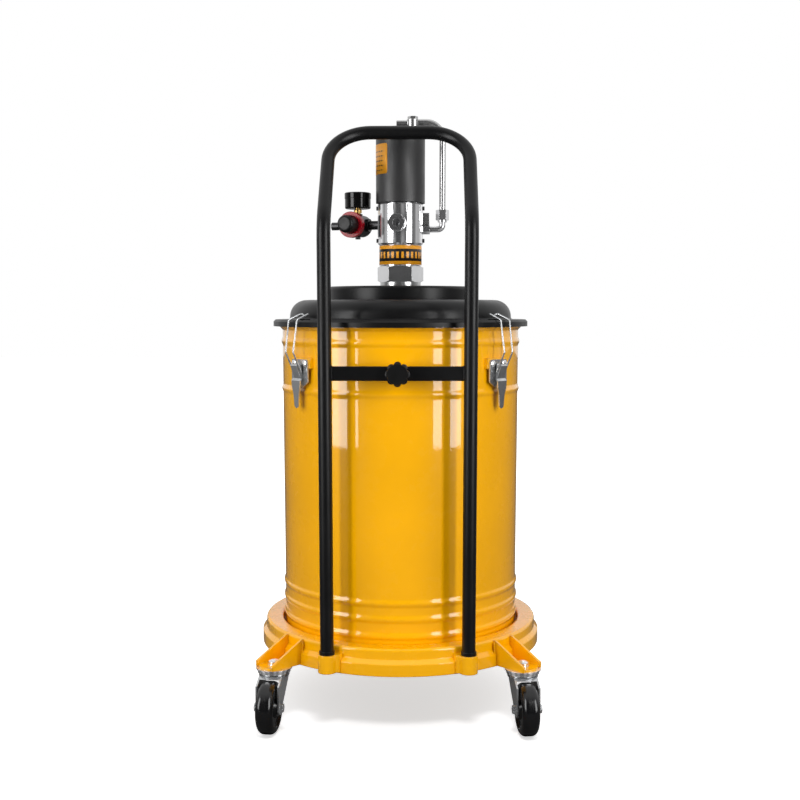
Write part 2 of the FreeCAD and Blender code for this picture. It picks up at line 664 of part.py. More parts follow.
def clamp_knob():
    """Lobed hand knob on a hub, facing the person who pushes the dolly."""
    body = new_body("clamp_knob")
    lift = Placement(Vector(0, 0, DIMENSIONS["crossbar_z"]), Rotation())
    core = sketch_on(body, "XZ_Plane", "core", D.knob_back)
    ring(core, 0, 0, D.knob_radius - 1)
    pad(body, core, D.knob_face - D.knob_back)
    lobe = sketch_on(body, "XZ_Plane", "lobe", D.knob_back)
    ring(lobe, D.knob_radius, 0, D.knob_lobe)
    one = pad(body, lobe, D.knob_face - D.knob_back)
    polar(body, [one], D.knob_lobes)
    hub = sketch_on(body, "XZ_Plane", "hub", D.handle_y + D.crossbar_thick / 2 + 0.5)
    ring(hub, 0, 0, D.knob_hub)
    pad(body, hub, D.knob_back - D.handle_y)
    doc.recompute()
    bore = sketch_on(body, "XZ_Plane", "bore", D.handle_y)
    ring(bore, 0, 0, D.stud)
    pad(body, bore, D.stud_tip - D.handle_y, kind="Pocket", backwards=True)
    crown = sketch_on(body, "XY_Plane", "crown")
    tip, face, edge = D.knob_radius + D.knob_lobe, -D.knob_face, D.knob_edge
    outline(crown, [(tip - edge * 2, face, edge * 2.4), (tip + edge, face - edge),
                    (tip + edge, face + edge * 2),
                    (tip, face + edge * 2)])
    body.Tip = revolve(body, crown, "Groove")
    body.Placement = lift


def clamp_stud():
    """Threaded stud behind the clamp knob, drawn as a plain rod."""
    facing = Vector(0, -1, 0)
    stud = rod("clamp_stud", D.stud, D.stud_end, D.stud_tip, (0, 0), facing)
    stud.Placement.Base.z = DIMENSIONS["crossbar_z"]


# ---------------------------------------------------------------- drum
def bead(radius, centre):
    """Outline points of one rolled bead on the drum wall, going up."""
    depth, half = D.bead_depth, D.bead_half
    size = (DIMENSIONS["bead_depth"] ** 2 + DIMENSIONS["bead_half"] ** 2) / 4 / DIMENSIONS["bead_depth"]
    curve = depth * (size / DIMENSIONS["bead_depth"])
    return [(radius, centre - half), (radius + depth / 2, centre - half / 2, -curve),
            (radius + depth / 2, centre + half / 2, curve), (radius, centre + half, -curve)]


def drum_shell():
    """Open drum: flat floor, rolled beads and a curled rim under the lid."""
    radius, wall, foot, top = D.drum_radius, D.drum_wall, D.drum_foot, D.drum_rim_top
    edge, curl, lip = D.drum_foot_round, D.drum_curl_round, D.drum_curl_out
    section = [(0, foot), (radius - edge, foot), (radius, foot + edge, edge)]
    for centre in (D.bead_1, D.bead_2, D.bead_3, D.bead_4, D.bead_5):
        section += bead(radius, centre)
    section += [(radius, D.drum_curl_low), (radius + lip, D.drum_curl_low + lip),
                (radius + lip, top - curl), (radius + lip - curl, top, curl),
                (radius - wall, top), (radius - wall, foot + edge),
                (radius - edge, foot + wall, wall - edge), (0, foot + wall)]
    turned("drum_shell", section)


def drum_brackets():
    """Welded to the drum: the clamp boss in front and a strip behind each latch."""
    facing = Vector(0, -1, 0)
    boss = rod("boss_blank", D.boss_radius, D.drum_radius - 8, D.boss_face, (0, 0), facing)
    bore = rod("boss_bore", D.stud + D.running_gap, D.drum_radius + 2, D.boss_face + 1, (0, 0), facing)
    for piece in (boss, bore):
        piece.Placement.Base.z = DIMENSIONS["crossbar_z"]
    pieces = [cut("clamp_boss", boss, bore)]
    for name, turn in latch_turns():
        plate = block("pad_plate_" + name, (D.drum_radius - 8, -D.pad_half, D.pad_low),
                      (D.pad_face, D.pad_half, D.pad_high))
        plate.Placement = about_z(turn).multiply(plate.Placement)
        pieces.append(plate)
    blank = fused("drum_bracket_blanks", pieces)
    holes = []
    for place in screw_places():
        hole = rod("pad_hole", D.screw_shank + D.running_gap, 0, D.base_face)
        hole.Placement = place
        holes.append(hole)
    drum = rod("drum_trim", D.drum_radius, D.bead_4, D.bead_5)
    cut("drum_brackets", blank, fused("pad_openings", [drum] + holes))


# ---------------------------------------------------------------- latches
def latch_turns():
    """Name of each latch and the turn that takes +X to its place on the drum."""
    turn = DIMENSIONS["latch_turn"]
    return (("left", -90.0 - turn), ("right", -90.0 + turn), ("rear", 90.0))


def latch_bases():
    """Shield-shaped plates with two ears that carry the lever pivot."""
    pieces = []
    for name, turn in latch_turns():
        body = new_body("latch_base_" + name)
        thick = D.base_face - D.pad_face
        shield = sketch_on(body, "YZ_Plane", "shield", D.pad_face)
        half = D.base_half
        outline(shield, [(-D.base_tip, D.base_low), (D.base_tip, D.base_low), (half, D.base_waist),
                         (half, D.base_high - 4), (half - 4, D.base_high, 4),
                         (-half + 4, D.base_high), (-half, D.base_high - 4, 4),
                         (-half, D.base_waist)])
        pad(body, shield, thick)
        ear = sketch_on(body, "XZ_Plane", "ear")
        low, high = D.pivot_z - D.ear_round, D.pivot_z + D.ear_round
        outline(ear, [(D.pad_face, low - 3), (D.pivot_out, low),
                      (D.pivot_out, high, D.ear_round * NEARLY_HALF),
                      (D.pad_face, high)])
        pad(body, ear, (D.ear_inner + D.ear_sheet) * 2, both=True)
        gap = sketch_on(body, "XZ_Plane", "gap")
        rectangle(gap, D.base_face, D.base_low, D.pivot_out + D.lever_front, D.base_high)
        doc.recompute()
        pad(body, gap, D.ear_inner * 2, both=True, kind="Pocket")
        pivot = sketch_on(body, "XZ_Plane", "pivot")
        ring(pivot, D.pivot_out, D.pivot_z, D.pivot_radius)
        through(body, pivot)
        holes = sketch_on(body, "YZ_Plane", "holes", D.pad_face)
        for side in (-1, 1):
            ring(holes, D.screw_side * side, D.screw_z, D.screw_shank)
        through(body, holes)
        body.Placement = about_z(turn)
        pieces.append(body)
    grouped("latch_bases", pieces)


def screw_places():
    """Placement of each latch screw, drawn along +Z from the drum's axis outward."""
    outward = Rotation(Vector(0, 0, 1), Vector(1, 0, 0))
    for name, turn in latch_turns():
        for side in (-1, 1):
            spot = Vector(0, side * DIMENSIONS["screw_side"], DIMENSIONS["screw_z"])
            yield about_z(turn).multiply(Placement(spot, outward))


def latch_fasteners():
    """Two domed screws and one pivot pin for each latch."""
    pieces = []
    for place in screw_places():
        screw = turned("latch_screw", [
            (0, D.screw_end), (D.screw_shank, D.screw_end), (D.screw_shank, D.base_face),
            (D.screw_head, D.base_face), (D.screw_head, D.base_face + 1),
            (0, D.base_face + D.screw_high, dome(D.screw_head, D.screw_high - 1))])
        screw.Placement = place
        pieces.append(screw)
    reach = D.lever_half + 0.2
    for name, turn in latch_turns():
        pin = rod("latch_pin", D.pivot_radius, -reach, reach, (D.pivot_out, 0), Vector(0, 1, 0))
        pin.Placement.Base.z = DIMENSIONS["pivot_z"]
        pin.Placement = about_z(turn).multiply(pin.Placement)
        pieces.append(pin)
    grouped("latch_fasteners", pieces)


def latch_lever(name, turn):
    """A channel that hangs from the pivot, steps outward and runs down into a tapered thumb blade."""
    body = new_body("latch_lever_" + name)
    back, front = D.pivot_out - D.lever_back, D.pivot_out + D.lever_front
    sheet, foot, foot_z = D.lever_sheet, D.lever_foot_out, D.lever_foot_z
    channel = sketch_on(body, "XZ_Plane", "channel")
    crown = (D.lever_back + D.lever_front) / 2 * NEARLY_HALF
    outline(channel, [(front, D.pivot_z), (back, D.pivot_z, crown), (back, foot_z), (foot, foot_z)])
    pad(body, channel, D.lever_half * 2, both=True)
    hollow = sketch_on(body, "XZ_Plane", "hollow")
    outline(hollow, [(front - sheet, D.pivot_z), (front - sheet, D.pivot_z + D.lever_front),
                     (back - sheet, D.pivot_z + D.lever_front), (back - sheet, foot_z - sheet),
                     (foot - sheet, foot_z - sheet)])
    doc.recompute()
    pad(body, hollow, (D.lever_half - sheet) * 2, both=True, kind="Pocket")
    blade = sketch_on(body, "XZ_Plane", "blade")
    thick, tip, tip_z = D.blade_thick, D.blade_tip_out, D.blade_tip_z
    outline(blade, [(foot, foot_z), (foot - sheet, foot_z), (foot - sheet, foot_z - 1),
                    (D.blade_out - thick, D.blade_z - 1), (tip - thick, tip_z), (tip, tip_z),
                    (D.blade_out, D.blade_z)])
    pad(body, blade, D.blade_half * 2, both=True)
    doc.recompute()
    taper = sketch_on(body, "YZ_Plane", "taper", back)
    wide, waist, slim = D.blade_half, D.blade_waist_half, D.blade_tip_half
    drop = (D.blade_z - tip_z) / 4
    for side in (-1, 1):
        outline(taper, [(wide * side, D.blade_z), ((wide - 1) * side, D.blade_z - drop),
                        (waist * side, D.blade_z - drop * 2), (slim * side, tip_z + slim),
                        (side * 0.2, tip_z, slim * NEARLY_HALF * -side),
                        (side * 0.2, tip_z - slim), ((wide + 5) * side, tip_z - slim),
                        ((wide + 5) * side, D.blade_z)])
    pad(body, taper, D.lever_front * 3, kind="Pocket", backwards=True)
    holes = sketch_on(body, "XZ_Plane", "holes")
    ring(holes, D.pivot_out, D.pivot_z, D.pivot_radius + D.running_gap)
    ring(holes, D.bail_out, D.bail_z, D.bail_wire + D.running_gap)
    through(body, holes)
    body.Placement = about_z(turn)


def latch_bail(name, turn):
    """Bent wire: its ends turn into the lever, its V-shaped bridge hooks over the lid's catch."""
    half = [("bail_out", "bail_stub", "bail_z"), ("bail_out", "bail_side", "bail_z"),
            ("bail_kink_out", "bail_side", "bail_kink_z"), ("bail_up_out", "bail_top_side", "bail_up_z"),
            ("bail_corner_out", "bail_corner_side", "bail_corner_z")]
    left = [Vector(DIMENSIONS[out], -DIMENSIONS[side], DIMENSIONS[z]) for out, side, z in half]
    middle = Vector(DIMENSIONS["bail_corner_out"], 0, DIMENSIONS["bail_hook_z"])
    right = [Vector(point.x, -point.y, point.z) for point in reversed(left)]
    points = left + [middle] + right
    bends = same_bends(points, "bail_bend")
    bends[0] = bends[-1] = DIMENSIONS["bail_stub_bend"]
    path = rounded_path(points, bends)
    bail = swept("latch_bail_" + name, path, D.bail_wire, left[0], Vector(0, -1, 0))
    bail.Placement = about_z(turn)


def lid_catches():
    """Bent strips on the lid's flange that the bail wires hook over."""
    pieces = []
    for name, turn in latch_turns():
        body = new_body("lid_catch_" + name)
        section = sketch_on(body, "XZ_Plane", "section")
        sheet, foot, lip = D.catch_sheet, D.catch_foot, D.catch_lip
        outline(section, [(D.catch_in, D.lid_top), (foot + 0.6, D.lid_top), (lip + 0.6, D.catch_top - 1),
                          (lip - 0.5, D.catch_top), (foot, D.lid_top + sheet),
                          (D.catch_in, D.lid_top + sheet)])
        pad(body, section, D.catch_half * 2, both=True)
        body.Placement = about_z(turn)
        pieces.append(body)
    grouped("lid_catches", pieces)


# ---------------------------------------------------------------- lid
def lid_shell():
    """Pressed lid: bevelled skirt, flat flange and a shouldered dome with a hole for the pump."""
    sheet, bevel, top = D.lid_sheet, D.lid_bevel, D.lid_top
    radius, foot, round_over = D.lid_radius, D.dome_foot, D.dome_round
    inside = foot - sheet
    turned("lid_shell", [
        (radius, D.lid_skirt), (radius, top - bevel), (radius - bevel, top), (foot + 3, top),
        (foot, D.dome_foot_z, -4), (foot - round_over, D.dome_top, round_over),
        (D.lid_hole, D.dome_top), (D.lid_hole, D.dome_top - sheet),
        (foot - round_over, D.dome_top - sheet), (inside, D.dome_foot_z, sheet - round_over),
        (inside, top - sheet), (radius - bevel - 1, top - sheet), (radius - sheet, top - bevel - 1),
        (radius - sheet, D.lid_skirt)])


def lid_disc():
    """Raised plate on the dome that stiffens it around the pump."""
    sheet, edge, radius = D.disc_sheet, D.disc_edge, D.disc_radius
    turned("lid_disc", [
        (radius, D.dome_top), (radius, D.disc_top - edge), (radius - edge, D.disc_top, edge),
        (D.lid_hole, D.disc_top), (D.lid_hole, D.disc_top - sheet),
        (radius - edge, D.disc_top - sheet), (radius - sheet, D.disc_top - edge, sheet - edge),
        (radius - sheet, D.dome_top)])


def lid_gasket():
    """Flat seal between the lid and the drum's rim."""
    low, high = D.drum_rim_top, D.drum_rim_top + D.gasket_high
    turned("lid_gasket", [(D.gasket_inner, low), (D.gasket_outer - 1, low), (D.gasket_outer, low + 1, 1),
                          (D.gasket_outer, high), (D.gasket_inner, high)])


# ---------------------------------------------------------------- pump
def pump_tube():
    """Suction tube with the collar that rests on the lid and the threaded spigot above it."""
    turned("pump_tube", [
        (D.stem_bore, D.stem_foot), (D.stem_radius, D.stem_foot), (D.stem_radius, D.disc_top),
        (D.stem_collar, D.disc_top), (D.stem_collar, D.collar_top), (D.spigot_radius, D.collar_top),
        (D.spigot_radius, D.spigot_top), (D.stem_bore, D.spigot_top)])


def coupling_nut():
    """Big hexagon nut with turned-down corners."""
    blank = hexagon("nut_blank", D.nut_corner, D.nut_low, D.nut_top)
    radius, chamfer = D.nut_corner + 0.1, D.nut_chamfer
    corners = turned("nut_envelope", [
        (0, D.nut_low), (radius - chamfer * 2, D.nut_low), (radius, D.nut_low + chamfer),
        (radius, D.nut_top - chamfer), (radius - chamfer * 2, D.nut_top), (0, D.nut_top)])
    common = doc.addObject("Part::MultiCommon", "nut_common")
    common.Shapes = [blank, corners]
    cut("coupling_nut", common, rod("nut_bore", D.spigot_radius, D.nut_low - 1, D.nut_top + 1))


def pump_neck():
    """Collar between the coupling nut and the valve body."""
    low, high, radius = D.nut_top, D.neck_top, D.neck_radius
    turned("pump_neck", [(D.oil_way, low), (radius - 1, low), (radius, low + 1), (radius, high - 1),
                         (radius - 1, high), (D.oil_way, high)])


def valve_body():
    """Chromed body with the oil way, the rod seal bore and the port holes."""
    radius, chamfer, low, top = D.valve_radius, D.valve_chamfer, D.neck_top, D.valve_top
    seal = D.rod_radius + D.running_gap
    blank = turned("valve_blank", [
        (D.oil_way, low), (radius - chamfer, low), (radius, low + chamfer), (radius, top - chamfer),
        (radius - chamfer, top), (seal, top), (seal, D.seal_low), (D.oil_way, D.seal_low)])
    port = rod("port_hole", D.port_bore, D.oil_way - 2, D.valve_radius + 1, (0, 0), Vector(0, -1, 0))
    port.Placement.Base.z = DIMENSIONS["port_z"]
    port.Placement = about_z(-DIMENSIONS["port_turn"]).multiply(port.Placement)
    air = rod("air_hole", D.inlet_neck, D.oil_way + 6, D.valve_radius + 1, (0, 0), Vector(-1, 0, 0))
    air.Placement.Base.z = DIMENSIONS["regulator_z"]
    air.Placement = about_z(-DIMENSIONS["regulator_turn"]).multiply(air.Placement)
    side = rod("pipe_hole", D.pipe_bore, D.oil_way + 6, D.valve_radius + 1, (0, 0), Vector(1, 0, 0))
    side.Placement.Base.z = DIMENSIONS["elbow_z"]
    cut("valve_body", blank, fused("valve_holes", [port, air, side]))


def trimmed(label, piece, clearance=0):
    """Cut a radial fitting back to the valve body's own surface."""
    trim = rod(label + "_trim", D.valve_radius + clearance, D.neck_top, D.valve_top)
    return cut(label, piece, trim)


def lifted(piece, height, turn=0.0):
    """Move a shape to a height, then turn it about the drum's axis."""
    piece.Placement.Base.z = number(height)
    piece.Placement = about_z(turn).multiply(piece.Placement)
    return piece


def outlet_port():
    """Oil outlet: a round boss and a hexagon with a threaded bore, facing the handle."""
    facing, turn = Vector(0, -1, 0), -DIMENSIONS["port_turn"]
    boss = rod("port_boss_rod", D.port_boss, D.port_root, D.port_boss_out, (0, 0), facing)
    nut = hexagon("port_nut", D.port_hex, D.port_root, D.port_hex_out, (0, 0), facing)
    bore = rod("port_thread", D.port_bore, D.port_root - 1, D.port_hex_out + 1, (0, 0), facing)
    for piece in (boss, nut, bore):
        lifted(piece, D.port_z, turn)
    solid = cut("port_bored", fused("port_solid", [boss, nut]), bore)
    trimmed("outlet_port", solid)


def body_screws():
    """Socket screws on the two flanks of the valve body."""
    pieces = []
    for side in (-1, 1):
        for height in (D.side_screw_low, D.side_screw_high):
            facing = Vector(side, 0, 0)
            screw = rod("side_screw", D.side_screw, D.port_root, D.side_screw_out, (0, 0), facing)
            lifted(screw, height, -side * DIMENSIONS["side_screw_turn"])
            pieces.append(trimmed("body_screw", screw))
    grouped("body_screws", pieces)


def motor_sleeve():
    """Cylinder of the air motor."""
    turned("motor_sleeve", [(D.sleeve_bore, D.valve_top), (D.sleeve_radius, D.valve_top),
                            (D.sleeve_radius, D.cap_edge), (D.sleeve_bore, D.cap_edge)])


def motor_cap():
    """Top cap with its spigot in the sleeve and a breather boss."""
    edge = D.cap_round
    cap = turned("cap_blank", [
        (0, D.cap_low), (D.cap_spigot, D.cap_low), (D.cap_spigot, D.cap_edge), (D.sleeve_radius, D.cap_edge),
        (D.sleeve_radius, D.cap_top - edge), (D.sleeve_radius - edge, D.cap_top, edge), (0, D.cap_top)])
    boss = rod("breather", D.breather_radius, D.cap_top - 1, D.cap_top + 3, (-D.breather_x * 6, 0))
    fused("motor_cap", [cap, boss])


def pump_internals():
    """Air piston, rod and plunger, which stroke together, and the foot valve with its ball."""
    slip = D.running_gap
    turned("air_piston", [
        (D.rod_radius, D.piston_low), (D.sleeve_bore - slip, D.piston_low),
        (D.sleeve_bore - slip, D.piston_high), (D.rod_radius, D.piston_high)])
    rod("piston_rod", D.rod_radius, D.rod_low, D.piston_high + 2)
    bore = D.stem_bore - slip
    turned("plunger", [
        (0, D.plunger_low), (bore - 3, D.plunger_low), (bore, D.plunger_low + 3), (bore, D.plunger_high),
        (D.rod_radius, D.plunger_high), (D.rod_radius, D.rod_low), (0, D.rod_low)])
    turned("foot_valve", [
        (D.foot_inlet, D.stem_foot + 2), (D.stem_bore, D.stem_foot + 2), (D.stem_bore, D.foot_valve_top),
        (D.foot_orifice, D.foot_valve_top), (D.foot_orifice, D.foot_cage), (D.foot_chamber, D.foot_cage),
        (D.foot_chamber, D.foot_cone), (D.foot_orifice, D.foot_seat), (D.foot_orifice, D.foot_neck),
        (D.foot_inlet, D.foot_neck)])
    ball = doc.addObject("Part::Sphere", "foot_ball")
    bind(ball, "Radius", D.ball_radius)
    ball.Placement.Base.z = DIMENSIONS["ball_z"]


# ---------------------------------------------------------------- air pipe
def air_pipe():
    """Steel pipe from the elbow, up beside the motor and over into its top fitting."""
    x, top = DIMENSIONS["pipe_x"], DIMENSIONS["pipe_z"]
    points = [Vector(x, 0, DIMENSIONS["pipe_low"]), Vector(x, 0, top),
              Vector(DIMENSIONS["fitting_x"] + DIMENSIONS["fitting_round"] - 1, 0, top)]
    path = rounded_path(points, same_bends(points, "pipe_bend"))
    outside = swept("pipe_outside", path, D.pipe_radius, points[0], Vector(0, 0, 1))
    inside = swept("pipe_inside", path, D.pipe_bore, points[0], Vector(0, 0, 1))
    pipe = cut("pipe_hollow", outside, inside)
    cut("air_pipe", pipe, rod("pipe_trim", D.fitting_round, D.cap_top, D.fitting_top, (D.fitting_x, 0)))


def pipe_elbow():
    """Hexagon union in the valve body and an elbow that turns up into the pipe nut."""
    x, z = DIMENSIONS["pipe_x"], DIMENSIONS["elbow_z"]
    nut = lifted(hexagon("elbow_nut", D.elbow_hex, D.elbow_hex_in, D.elbow_hex_out, (0, 0), Vector(1, 0, 0)),
                 D.elbow_z)
    points = [Vector(DIMENSIONS["elbow_hex_in"], 0, z), Vector(x, 0, z), Vector(x, 0, DIMENSIONS["pipe_low"])]
    path = rounded_path(points, same_bends(points, "elbow_bend"))
    bend = swept("elbow_bend", path, D.elbow_radius, points[0], Vector(1, 0, 0))
    collar = rod("elbow_collar", D.elbow_collar + 1, D.pipe_nut_low - 3, D.pipe_nut_low, (D.pipe_x, 0))
    return trimmed("pipe_elbow", fused("elbow_solid", [nut, bend, collar]))


def pipe_nut():
    """Union nut at the air pipe's lower end."""
    blank = hexagon("pipe_nut_blank", D.pipe_nut_corner, D.pipe_nut_low, D.pipe_nut_top, (D.pipe_x, 0))
    lower = rod("pipe_nut_lower", D.elbow_radius, D.pipe_nut_low - 1, D.pipe_low, (D.pipe_x, 0))
    upper = rod("pipe_nut_upper", D.pipe_radius, D.pipe_low - 1, D.pipe_nut_top + 1, (D.pipe_x, 0))
    return cut("pipe_nut", blank, fused("pipe_nut_bores", [lower, upper]))


def pilot_valve():
    """Small pilot block on the right flank of the valve body."""
    blank = block("pilot_blank", (D.pilot_in, -D.pilot_half, D.pilot_low),
                  (D.pilot_out, D.pilot_half, D.pilot_high))
    nut = lifted(hexagon("pilot_clear", D.elbow_hex, D.pilot_in, D.pilot_out, (0, 0), Vector(1, 0, 0)),
                 D.elbow_z)
    trimmed("pilot_valve", cut("pilot_relieved", blank, nut))


def top_fitting():
    """Banjo ring and hexagon bolt on the motor cap, with a bleed screw on the left."""
    ring_part = rod("banjo_ring", D.fitting_round, D.cap_top, D.fitting_round_top, (D.fitting_x, 0))
    bolt = hexagon("banjo_bolt", D.fitting_hex, D.cap_top, D.fitting_top, (D.fitting_x, 0))
    bleed = hexagon("bleed_screw", D.bleed_radius, -D.bleed_out, D.fitting_x, (0, 0), Vector(1, 0, 0))
    lifted(bleed, D.bleed_z)
    fused("top_fitting", [ring_part, bolt, bleed])


# ---------------------------------------------------------------- regulator
def on_regulator(piece):
    """Turn a piece drawn with the air flow along -X onto the regulator's own axis."""
    piece.Placement = about_z(-DIMENSIONS["regulator_turn"]).multiply(piece.Placement)
    return piece


def facing_knob(name, radius, start, end, make=rod):
    """A round or hexagonal piece on the regulator's knob axis, start and end from the flow line."""
    piece = make(name, radius, start, end, (-D.regulator_x, 0), Vector(0, -1, 0))
    piece.Placement.Base.z = DIMENSIONS["regulator_z"]
    return piece


def regulator_body():
    """Cast body: a drum along the knob axis with an air port at each side."""
    drum = facing_knob("regulator_drum", D.regulator_radius, -D.regulator_back, D.regulator_front)
    neck = facing_knob("regulator_neck", D.cap_knob_back, D.regulator_front, D.regulator_front + 12)
    port = rod("regulator_ports", D.regulator_port, D.regulator_x - D.regulator_port_out,
               D.regulator_x + D.regulator_port_out, (0, 0), Vector(-1, 0, 0))
    lifted(port, D.regulator_z)
    bowl = rod("regulator_bowl", D.stem_hex + 2, D.drain_low + 4, D.regulator_z, (-D.regulator_x, 0))
    top = rod("regulator_top", D.stem_hex + 2, D.regulator_z, D.gauge_low - 8, (-D.regulator_x, 0))
    on_regulator(fused("regulator_body", [drum, neck, port, bowl, top]))


def regulator_ring():
    """Coloured ring nut behind the regulator's knob."""
    outer = facing_knob("ring_nut_outer", D.ring_nut_radius, D.regulator_front + 0.2, D.ring_nut_out)
    inner = facing_knob("ring_nut_inner", D.cap_knob_back, D.regulator_front - 1, D.ring_nut_out + 1)
    on_regulator(cut("regulator_ring", outer, inner))


def regulator_knob():
    """Fluted adjusting knob with a rounded end; it turns on the regulator's neck."""
    body = new_body("regulator_knob")
    start, end, radius = D.ring_nut_out + 0.3, D.cap_knob_out, D.cap_knob_radius
    section = sketch_on(body, "XZ_Plane", "section")
    neck_end = D.regulator_front + 12.5
    neck = D.cap_knob_back + D.running_gap
    outline(section, [(neck, start), (radius, start), (radius - 1, end - 5), (radius - 6, end, 5.1),
                      (0, end), (0, neck_end), (neck, neck_end)])
    revolve(body, section)
    flute = sketch_on(body, "XY_Plane", "flute", start - 1)
    ring(flute, radius + 0.35, 0, D.grip_radius)
    doc.recompute()
    one = pad(body, flute, (end - start) * 0.72, kind="Pocket", backwards=True)
    polar(body, [one], D.grip_count)
    local = Placement(Vector(-DIMENSIONS["regulator_x"], 0, DIMENSIONS["regulator_z"]),
                      Rotation(Vector(0, 0, 1), Vector(0, -1, 0)))
    body.Placement = about_z(-DIMENSIONS["regulator_turn"]).multiply(local)


def air_fittings():
    """Nipple into the valve body, the quick-connect plug at the inlet and the drain plug."""
    out, flow = D.regulator_x + D.regulator_port_out, Vector(-1, 0, 0)
    nipple = lifted(rod("nipple_rod", D.nipple_radius, D.nipple_in, D.regulator_x - D.regulator_port_out,
                        (0, 0), flow), D.regulator_z)
    neck = lifted(rod("inlet_neck_rod", D.inlet_neck, out, D.inlet_neck_end, (0, 0), flow), D.regulator_z)
    hex_part = lifted(hexagon("inlet_hex", D.port_bore + 2, out, out + 5, (0, 0), flow), D.regulator_z)
    plug = lifted(rod("inlet_plug", D.inlet_radius, D.inlet_neck_end, D.inlet_end, (0, 0), flow),
                  D.regulator_z)
    bore = lifted(rod("inlet_bore", D.pipe_bore - 1, out + 1, D.inlet_end + 1, (0, 0), flow), D.regulator_z)
    drain = rod("drain_plug", D.drain_radius, D.drain_low, D.drain_low + 4, (-D.regulator_x, 0))
    inlet = cut("inlet", fused("inlet_solid", [neck, hex_part, plug]), bore)
    on_regulator(grouped("air_fittings", [trimmed("nipple", nipple), inlet, drain]))


def pressure_gauge():
    """Round gauge facing up: stem, cup with bezel, dial, pointer and lens."""
    place = Placement(Vector(-DIMENSIONS["regulator_x"], 0, 0), Rotation())
    wall, radius = D.gauge_wall, D.gauge_radius
    stem = turned("gauge_stem", [
        (0, D.gauge_low - 8), (D.gauge_stem, D.gauge_low - 8), (D.gauge_stem, D.gauge_low - 6),
        (D.stem_hex + 1, D.gauge_low - 6), (D.stem_hex + 1, D.gauge_low - 2), (D.gauge_stem, D.gauge_low - 1),
        (D.gauge_stem, D.gauge_low), (0, D.gauge_low)], place)
    case = turned("gauge_case", [
        (0, D.gauge_low), (radius - 2, D.gauge_low), (radius, D.gauge_low + 2, 2),
        (radius, D.gauge_bezel_low), (D.gauge_bezel, D.gauge_bezel_low + 0.5),
        (D.gauge_bezel, D.gauge_top - 1), (D.gauge_bezel - 1, D.gauge_top),
        (radius - wall - 1.5, D.gauge_top),
        (radius - wall - 1.5, D.gauge_lens_top), (radius - wall, D.gauge_lens_top),
        (radius - wall, D.gauge_low + wall), (0, D.gauge_low + wall)], place)
    dial = turned("gauge_dial", [(0, D.dial_low), (D.dial_radius, D.dial_low), (D.dial_radius, D.dial_top),
                                 (D.pointer_hub / 2, D.dial_top), (D.pointer_hub / 2, D.pointer_low - SMALL),
                                 (0, D.pointer_low - SMALL)], place)
    lens = turned("gauge_lens", [(0, D.gauge_lens_low), (radius - wall, D.gauge_lens_low),
                                 (radius - wall, D.gauge_lens_top), (0, D.gauge_lens_top)], place)
    pointer = new_body("gauge_pointer")
    hand = sketch_on(pointer, "XY_Plane", "hand", D.pointer_low)
    half = D.pointer_half
    outline(hand, [(-D.pointer_tail, -half), (D.pointer_length, -half / 4), (D.pointer_length, half / 4),
                   (-D.pointer_tail, half)])
    pad(pointer, hand, D.pointer_top - D.pointer_low)
    hub = sketch_on(pointer, "XY_Plane", "hub", D.pointer_low)
    ring(hub, 0, 0, D.pointer_hub)
    pad(pointer, hub, D.pointer_top - D.pointer_low + 0.6)
    rest_angle = 225.0
    pointer.Placement = place.multiply(about_z(rest_angle))
    for piece in (stem, case, dial, lens, pointer):
        on_regulator(piece)


# ---------------------------------------------------------------- document
def build():
    """Make every sub-part."""
    dolly_ring()
    caster_brackets()
    handle_sockets()
    casters()
    handle_tube()
    handle_crossbar()
    clamp_knob()
    clamp_stud()
    drum_shell()
    drum_brackets()
    latch_bases()
    latch_fasteners()
    for name, turn in latch_turns():
        latch_lever(name, turn)
        latch_bail(name, turn)
    lid_catches()
    lid_shell()
    lid_disc()
    lid_gasket()
    pump_tube()
    coupling_nut()
    pump_neck()
    valve_body()
    outlet_port()
    body_screws()
    motor_sleeve()
    motor_cap()
    pump_internals()
    air_pipe()
    grouped("pipe_fittings", [pipe_elbow(), pipe_nut()])
    pilot_valve()
    top_fitting()
    regulator_body()
    regulator_ring()
    regulator_knob()
    air_fittings()
    pressure_gauge()


CASTER_NODES = ["caster_%s_%s" % (part, name) for name, centre, heading in caster_places()
                for part in ("fork", "axle", "wheel")]
LATCH_NODES = ["latch_%s_%s" % (part, name) for name, turn in latch_turns() for part in ("lever", "bail")]
NODES = [
    "dolly_ring", "caster_brackets", "handle_sockets", "caster_mounts", "handle_tube",
    "handle_crossbar", "clamp_knob", "clamp_stud", "drum_shell", "drum_brackets", "latch_bases",
    "latch_fasteners", "lid_catches", "lid_shell", "lid_disc", "lid_gasket", "pump_tube", "coupling_nut",
    "pump_neck", "valve_body", "outlet_port", "body_screws", "motor_sleeve", "motor_cap", "air_piston",
    "piston_rod", "plunger", "foot_valve", "foot_ball", "air_pipe", "pipe_fittings",
    "pilot_valve", "top_fitting", "regulator_body", "regulator_ring", "regulator_knob", "air_fittings",
    "gauge_case", "gauge_stem", "gauge_dial", "gauge_pointer", "gauge_lens"] + CASTER_NODES + LATCH_NODES


def check(nodes):
    """Stop on any failed object or on a sub-part that isn't a valid solid."""
    bad = [item.Label for item in doc.Objects if "Invalid" in item.State or "Error" in item.State]
    for node in nodes:
        shape = doc.getObjectsByLabel(node)[0].Shape
        if shape.isNull() or not shape.isValid() or not shape.Solids:
            bad.append(node)
    if bad:
        raise RuntimeError("failed: " + ", ".join(bad))


doc = FreeCAD.newDocument("drum_pump")
D = Dimensions(make_sheet())
build()
doc.recompute()
check(NODES)
os.makedirs("parts", exist_ok=True)
for node in NODES:
    doc.getObjectsByLabel(node)[0].Shape.exportStep("parts/%s.step" % node)
